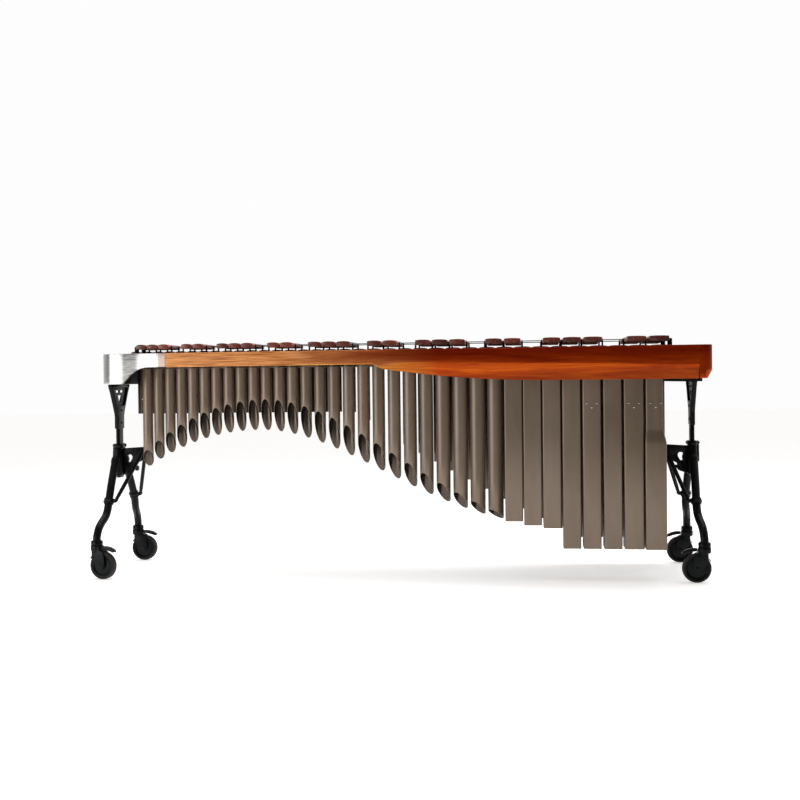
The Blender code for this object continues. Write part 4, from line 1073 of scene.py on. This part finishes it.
def oval_band(bm, x, outer, low, high, edge, bore=None):
    """Upright oval with softened rims; a bore makes it a tube."""

    def ring(size, inset, z):
        radius = size[1] / 2 - inset
        reach = size[0] / 2 - inset - radius
        outline = arc((0, reach), radius, 0, 180, 10) + arc((0, -reach), radius, 180, 360, 10)
        return [(x + u, v, z) for u, v in outline]

    slight = edge * 0.3
    rings = [ring(outer, edge, low), ring(outer, slight, low + slight), ring(outer, 0, low + edge)]
    rings += [ring(outer, 0, high - edge), ring(outer, slight, high - slight), ring(outer, edge, high)]
    if bore:
        inner = [ring(bore, 0, z) for z in (low + edge, low, high, high - edge)]
        rings = [*inner[:2], *rings, *inner[2:], inner[0]]
    loft(bm, rings, caps=(not bore, not bore))
    if bore:
        bmesh.ops.remove_doubles(bm, verts=bm.verts, dist=1e-7)


def build_yoke(label, x):
    """Flat V-shaped bracket under the frame, with its slots, triangle, socket and bolts."""
    right = [(YOKE_HALF, END_BOTTOM - GAP), (YOKE_HALF, 0.868), (0.106, 0.850), (0.064, 0.780)]
    right += [(0.046, 0.748), (SOCKET_HALF, SOCKET_TOP), (SOCKET_HALF, SOCKET_BOTTOM)]
    edges = [0.002, 0.010, 0.030, 0.050, 0.020, 0.012, 0.004]
    outline = rounded(right + [(-y, z) for y, z in reversed(right)], edges + edges[::-1], 5)
    holes = []
    for y in (-0.031, 0.031):
        slot_end = arc((y + 0.0145, 0.851), 0.0055, -90, 90, 8)
        holes.append(slot_end + arc((y - 0.0145, 0.851), 0.0055, 90, 270, 8))
    holes.append(rounded([(-0.026, 0.832), (0.0, 0.797), (0.026, 0.832)], 0.004))
    pocket = [(-0.100, 0.8705), (-0.098, 0.862), (-0.050, 0.783)]
    pocket = rounded(pocket + [(-y, z) for y, z in reversed(pocket)], 0.006, 4)
    web = [(y * 1.012, mix(0.827, z, 1.02)) for y, z in pocket]
    bm = bmesh.new()
    plate(bm, outline, [pocket], YOKE_THICK, facing_x(x), 0.002)
    plate(bm, web, holes, 0.005, facing_x(x), 0.0008)
    outward = math.copysign(1.0, x)
    for y, z in ((-0.111, 0.8775), (0.111, 0.8775), (0.0, 0.760), (0.0, 0.700)):
        for face in (outward, -outward):
            screw(bm, (x + face * YOKE_THICK / 2, y, z), (face, 0, 0), 0.0055, 1)
    stand_piece(label, "yoke_plate", bm, METAL_AND_PLASTIC, "frame", "yoke")


def build_column(label, x):
    """Flattened tube that slides in the hub of the base."""
    bm = bmesh.new()
    oval_band(bm, x, (COLUMN_DEPTH, COLUMN_WIDTH), COLUMN_BOTTOM, SOCKET_BOTTOM - GAP, 0.0015)
    stand_piece(label, "column_tube", bm, BLACK_METAL, "frame", "inner_column")


def build_hub(label, x, inward):
    """Base hub that the column slides in, and the split collar that clamps it."""
    bore = (COLUMN_DEPTH + 2 * GAP, COLUMN_WIDTH + 2 * GAP)
    bm = bmesh.new()
    oval_band(bm, x, (HUB_DEPTH, HUB_WIDTH), HUB_BOTTOM, HUB_TOP, 0.004, bore)
    for z in (0.465, 0.490):
        screw(bm, (x - inward * HUB_WIDTH / 2, 0.0, z), (-inward, 0, 0), 0.0055, 1)
    stand_piece(label, "hub_body", bm, METAL_AND_PLASTIC, f"{label}_base", "base_hub")

    bm = bmesh.new()
    oval_band(bm, x, (COLLAR_DEPTH, COLLAR_WIDTH), HUB_TOP + GAP, COLLAR_TOP, 0.004, bore)
    nut = [(0.0062, 0.0), (0.0062, 0.003), (0.0050, 0.0042), (ON_AXIS, 0.0042)]
    for y in (-0.020, 0.020):
        place = (x + inward * (COLLAR_WIDTH / 2 - 0.001), y, (HUB_TOP + COLLAR_TOP) / 2)
        turned(bm, nut, pointing(place, (inward, 0, 0)), 6)
    stand_piece(label, "split_collar", bm, BLACK_PLASTIC, f"{label}_base", "clamp_collar")


def build_gusset(label, x, inward):
    """Plate between the hub and the braces, with an opening shaped like a comma."""
    reach = HUB_WIDTH / 2 + GAP
    corners = [(reach, 0.579), (0.122, 0.585), (0.132, 0.577), (0.132, 0.537)]
    corners += [(0.122, 0.525), (0.066, 0.499), (0.066, 0.467), (reach, 0.453)]
    outline = rounded(corners, (0.002, 0.010, 0.008, 0.012, 0.020, 0.006, 0.010, 0.002), 4)
    comma = [(0.038, 0.547), (0.060, 0.550), (0.066, 0.534), (0.052, 0.511), (0.041, 0.511), (0.045, 0.526)]
    outline, hole = ([(inward * u, z) for u, z in ring] for ring in (outline, rounded(comma, 0.007, 4)))
    bm = bmesh.new()
    plate(bm, outline, [hole], GUSSET_THICK, facing_y(0, x), 0.002)
    for side in (-1, 1):
        screw(bm, (x + inward * 0.086, side * GUSSET_THICK / 2, 0.560), (0, side, 0), 0.0048)
    stand_piece(label, "gusset_plate", bm, BLACK_METAL, f"{label}_base", "gusset")


def build_leg(label, x, inward, side, side_name):
    """Curved leg tube with the cup at its foot, its clamp ring, clamp screw and top collar."""
    path = leg_path(x, inward, side)
    top, above, below, foot = path[0], path[1], path[2], path[8] + Vector((0, 0, GAP))
    bm = bmesh.new()
    sweep(bm, spline_through(path[:8]) + [foot], LEG_RADIUS, 24)
    cup = [(0.0255, 0.0), (0.0270, 0.0015), (0.0270, 0.0150), (0.0250, 0.0185), (0.0182, 0.0215)]
    turned(bm, cup, Matrix.Translation(foot), 36, 1)
    along = (above - below).normalized()
    half = [(LEG_RADIUS, 0.013), (CLAMP_RADIUS - 0.002, 0.013)]
    half += [(CLAMP_RADIUS, 0.011), (CLAMP_RADIUS, 0.0015)]
    clamp = [(r, -z) for r, z in half] + [(CLAMP_RADIUS - 0.001, 0.0)] + half[::-1]
    turned(bm, clamp, pointing(below, along), 32, 1)
    screw(bm, below + Vector((-inward * CLAMP_RADIUS * 0.96, 0, 0)), (-inward, 0, 0), 0.005, 1)
    collar = [(0.0195, -0.010), (0.0200, -0.008), (0.0200, 0.012), (0.0190, 0.014)]
    turned(bm, collar, pointing(top - along * 0.018, along), 28)
    prefix = f"{label}_{side_name}"
    stand_piece(prefix, "leg_tube", bm, METAL_AND_PLASTIC, f"{label}_base", "leg")


def build_strut(label, x, inward, side, side_name):
    """Brace with slim, bolted ends, and the lug that joins it to the clamp on the leg."""
    start = Vector((x + inward * STRUT_START[0], side * STRUT_START[1], STRUT_START[2]))
    clamp = leg_path(x, inward, side)[2]
    end = clamp + Vector((inward * (CLAMP_RADIUS + STRUT_RADIUS + STRUT_GAP), 0, 0.004))
    shares = [0.0, 0.03, 0.09, 0.14, 0.3]
    shares += [0.5] + [1.0 - share for share in reversed(shares)]
    radii = [0.0070, 0.0080, 0.0082, 0.0089, 0.0090]
    radii += [0.0090] + radii[::-1]
    bm = bmesh.new()
    sweep(bm, [start.lerp(end, share) for share in shares], radii, 18)
    screw(bm, start + Vector((0, side * 0.006, 0)), (0, side, 0), 0.0050, 1)
    screw(bm, end + Vector((inward * 0.006, 0, 0)), (inward, 0, 0), 0.0050, 1)
    lug_start = clamp + Vector((inward * CLAMP_RADIUS * 0.80, 0, 0))
    lug_end = end + Vector((inward * 0.004, 0, 0))
    lug = [lug_start.lerp(lug_end, share) for share in (0.0, 0.5, 0.92, 1.0)]
    sweep(bm, lug, [0.0095, 0.0095, 0.0090, 0.0070], index=1)
    prefix = f"{label}_{side_name}"
    stand_piece(prefix, "strut_bar", bm, METAL_AND_PLASTIC, f"{label}_base", "strut")


def build_lever(label, x, inward):
    """Hanging clamp lever, wide at its pivot and slim at its tip."""
    place = x - inward * (COLLAR_WIDTH / 2 + GAP + LEVER_THICK / 2)
    outline = arc((0.0, 0.0), 0.009, -10, 190, 12) + arc((-0.012, -0.080), 0.006, 170, 370, 10)
    bm = bmesh.new()
    plate(bm, outline, [], LEVER_THICK, facing_x(place, 0, LEVER_PIVOT_Z), 0.0022)
    screw(bm, (place - inward * LEVER_THICK / 2, 0, LEVER_PIVOT_Z), (-inward, 0, 0), 0.0052)
    stand_piece(label, "lever_arm", bm, BLACK_PLASTIC, f"{label}_lever", "clamp_lever")


def build_knob(label, x, inward):
    """Locking knob with eight finger lobes."""
    start = Vector((x + inward * KNOB_IN, 0, KNOB_Z))
    stem = [(0.0075, GAP), (0.0080, 0.001), (0.0080, 0.011), (0.0070, 0.012)]
    grip = [(0.0105, 0.0105), (0.0125, 0.012), (0.0128, 0.016), (0.0128, 0.021), (0.0118, 0.0250)]
    bm = bmesh.new()
    turned(bm, stem, pointing(start, (inward, 0, 0)), 24)
    rings = []
    for radius, depth in grip + [(0.0080, 0.0258)]:
        ring = []
        for i, (c, s) in enumerate(circle(64)):
            lobed = radius * (1.0 - 0.045 * (1.0 + math.cos(math.pi * i / 4)) / 2)
            ring.append(start + Vector((inward * depth, lobed * c, lobed * s)))
        rings.append(ring)
    loft(bm, rings)
    stand_piece(label, "knob_grip", bm, BLACK_PLASTIC, f"{label}_knob", "locking_knob")


def build_housing(name, matrix):
    """Caster housing: round top, two cheeks with axle caps, and a mudguard behind the wheel."""
    top = CASTER_TOP - GAP
    bell = [(0.0180, 0.128), (0.0255, 0.128), (0.0278, 0.130), (0.0284, 0.133), (0.0284, 0.149)]
    bm = bmesh.new()
    turned(bm, bell + [(0.0270, 0.1530), (0.0235, top), (ON_AXIS, top)], matrix, 40)
    cheek = [(-0.014, 0.150), (-0.015, 0.088), *arc((TRAIL, WHEEL_RADIUS), 0.0165, 225, 350, 8)]
    cheek += [(0.0520, 0.090), (0.0465, 0.122), (0.0240, 0.134), (0.0240, 0.150)]
    outline = rounded(cheek, 0.004)
    cap = [(0.0095, 0.0), (0.0095, 0.0010), (0.0080, 0.0022), (0.0030, 0.0026), (ON_AXIS, 0.0026)]
    for side in (-1, 1):
        plate(bm, outline, [], 0.005, matrix @ facing_y(side * 0.021), 0.0014)
        turned(bm, cap, matrix @ pointing((TRAIL, side * 0.0235, WHEEL_RADIUS), (0, side, 0)), 24)
    section = [(0.0645, 0.0190), (0.0660, 0.0190), (0.0675, 0.0180)]
    section += [(depth, -half) for depth, half in reversed(section)]
    guard = []
    for u, w in arc((0.0, 0.0), 1.0, 152, 88, 14):
        row = [(TRAIL + depth * u, half, WHEEL_RADIUS + depth * w) for depth, half in section]
        guard.append([matrix @ Vector(place) for place in row])
    loft(bm, guard)
    stand_piece(name, "caster_housing", bm, BLACK_PLASTIC, f"{name}_caster", "caster_fork")


def build_wheel(name, matrix):
    """Dished wheel centre in its tyre."""
    half = WHEEL_WIDTH / 2
    core = [(AXLE_RADIUS + 0.0004, half - 0.001), (0.0125, half - 0.001), (0.0140, half - 0.0025)]
    core += [(0.0165, half - 0.0065), (0.0400, half - 0.0075), (0.0440, half - 0.0035)]
    core += [(0.0475, half - 0.0012), (0.0520, half - 0.0006), (0.0530, half - 0.0020)]
    tread = [(0.0532, half - 0.0022), (0.0545, half), (0.0575, half), (0.0600, half - 0.0012)]
    tread += [(0.0617, half - 0.0045), (0.0625, half - 0.0090)]
    centre = matrix @ Matrix.Translation((TRAIL, 0, WHEEL_RADIUS)) @ facing_y(0)
    bm = bmesh.new()
    ring_turned(bm, core + [(r, -z) for r, z in reversed(core)], centre)
    ring_turned(bm, tread + [(WHEEL_RADIUS, 0.0)] + [(r, -z) for r, z in reversed(tread)], centre, 1)
    stand_piece(name, "wheel_tyre", bm, (BLACK_PLASTIC, RUBBER), f"{name}_wheel", "wheel")


def build_pedal(name, matrix):
    """Brake pedal: a curved tongue with three ribs across it."""
    corners = [(-0.0045, 0.0065), (-0.0045, -0.0060), (0.018, -0.0080), (0.059, -0.0200)]
    corners += [(0.0625, -0.0140), (0.047, -0.0010), (0.018, 0.0065)]
    outline = rounded(corners, (0.003, 0.003, 0.010, 0.002, 0.002, 0.012, 0.010), 4)
    ridge = [(-0.0012, -0.003), (0.0012, -0.003), (0.0010, 0.0012), (-0.0010, 0.0012)]
    spot = matrix @ Matrix.Translation((PEDAL_PIVOT[0], 0, PEDAL_PIVOT[1])) @ facing_y(0)
    bm = bmesh.new()
    plate(bm, outline, [], 0.028, spot, 0.0020)
    for rib in range(3):
        place = (0.034 + 0.007 * rib, mix(0.0012, -0.0115, rib / 2), 0)
        plate(bm, rounded(ridge, 0.0006, 2), [], 0.022, spot @ Matrix.Translation(place), 0.0005)
    stand_piece(name, "pedal_plate", bm, BLACK_PLASTIC, f"{name}_pedal", "brake_pedal")


def build_stand(label, x):
    """One end's stand, from the yoke down to the casters."""
    inward = -1 if x > 0 else 1
    build_yoke(label, x)
    build_column(label, x)
    build_hub(label, x, inward)
    build_gusset(label, x, inward)
    build_lever(label, x, inward)
    build_knob(label, x, inward)
    for side, side_name in ((-1, "front"), (1, "rear")):
        build_leg(label, x, inward, side, side_name)
        build_strut(label, x, inward, side, side_name)
        turn = math.pi if inward < 0 else 0.0
        if label == "high" and side < 0:
            turn += HIGH_FRONT_SWIVEL
        foot = Matrix.Translation((x - inward * FOOT_OUT, side * FOOT_Y, 0.0))
        for build in (build_housing, build_wheel, build_pedal):
            build(f"{label}_{side_name}", foot @ Matrix.Rotation(turn, 4, "Z"))


# ---- studio
def build_floor():
    """Floor that ends in front of the camera and reaches far behind the object."""
    bm = bmesh.new()
    rings = [[(x, y, FLOOR_Z) for y in (FLOOR_NEAR, FLOOR_FAR)] for x in (-FLOOR_FAR, FLOOR_FAR)]
    loft(bm, rings, caps=(False, False), closed=False)
    mesh = bpy.data.meshes.new("studio_floor")
    bm.to_mesh(mesh)
    bm.free()
    mesh.materials.append(studio_floor())
    floor = bpy.data.objects.new("studio_floor", mesh)
    bpy.context.scene.collection.objects.link(floor)


def build_world():
    """White surroundings to the eye; what lights the object is bright behind and above, dim in front."""
    world = bpy.data.worlds.new("studio")
    bpy.context.scene.world = world
    world.use_nodes = True
    sky = Nodes(world.node_tree)
    sky.tree.nodes.clear()
    axes = sky.add("SeparateXYZ", {"Vector": sky.add("TexCoord").outputs["Generated"]}).outputs
    lift = sky.add("Math", {0: axes["Z"], 1: 0.7, 2: axes["Y"]}, operation="MULTIPLY_ADD")
    height = sky.stretch(lift.outputs["Value"], -1.0, 1.0)
    glow = sky.ramp(height, (0.35, WORLD_DIM), (0.90, WORLD_BRIGHT))
    colours = (glow, rgba(WORLD_GROUND), rgba(WORLD_SEEN))
    above, ground, seen = (sky.add("Background", {"Color": c}).outputs["Background"] for c in colours)
    below = sky.stretch(axes["Z"], 0.0, -0.10)
    lit = sky.add("MixShader", {"Fac": below, 1: above, 2: ground}).outputs["Shader"]
    to_camera = sky.add("LightPath").outputs["Is Camera Ray"]
    shown = sky.add("MixShader", {"Fac": to_camera, 1: lit, 2: seen}).outputs["Shader"]
    sky.add("OutputWorld", {"Surface": shown})


def add_softbox(name, place, target, size, energy):
    """Rectangular lamp that faces its target."""
    light = bpy.data.lights.new(name, "AREA")
    light.shape = "RECTANGLE"
    light.size, light.size_y = size
    light.energy = energy
    lamp = bpy.data.objects.new(name, light)
    lamp.location = place
    lamp.rotation_euler = (Vector(target) - Vector(place)).to_track_quat("-Z", "Y").to_euler()
    bpy.context.scene.collection.objects.link(lamp)


def build_lights():
    add_softbox("left_front_softbox", (-3.9, -3.4, 1.1), (-0.2, -0.3, 0.8), (2.8, 2.2), 78.0)
    add_softbox("top_softbox", (0.0, 0.35, 3.6), (0.0, 0.25, 0.0), (4.6, 2.4), 160.0)
    add_softbox("right_softbox", (4.6, 0.2, 1.8), (0.8, 0.0, 0.8), (1.2, 1.8), 9.0)


def build_camera():
    """Camera where the photograph was taken from: waist height, right of the middle, turned left."""
    level = Vector((math.cos(CAMERA_YAW), math.sin(CAMERA_YAW), 0.0))
    ahead = Vector((-math.sin(CAMERA_YAW), math.cos(CAMERA_YAW), 0.0)) * math.cos(CAMERA_PITCH)
    forward = ahead + Vector((0.0, 0.0, math.sin(CAMERA_PITCH)))
    upright = level.cross(forward)
    right = math.cos(CAMERA_ROLL) * level + math.sin(CAMERA_ROLL) * upright
    up = -math.sin(CAMERA_ROLL) * level + math.cos(CAMERA_ROLL) * upright
    data = bpy.data.cameras.new("photo_camera")
    data.sensor_width = 36.0
    data.lens = CAMERA_LENS
    camera = bpy.data.objects.new("photo_camera", data)
    turn = Matrix((right, up, -forward)).transposed()
    camera.matrix_world = Matrix.Translation(CAMERA_PLACE) @ turn.to_4x4()
    bpy.context.scene.collection.objects.link(camera)
    bpy.context.scene.camera = camera


# ---- assembly
build_fascia("front_fascia", -1)
build_fascia("rear_fascia", 1)
build_high_end()
build_low_end()
finish_beams()
build_bars()
build_supports()
build_front_bank()
build_rear_bank()
build_bank_plates()
build_tuning_screws()
build_stand("high", -COLUMN_X)
build_stand("low", COLUMN_X)
build_floor()
build_world()
build_lights()
build_camera()
bpy.context.scene.view_settings.view_transform = "Standard"
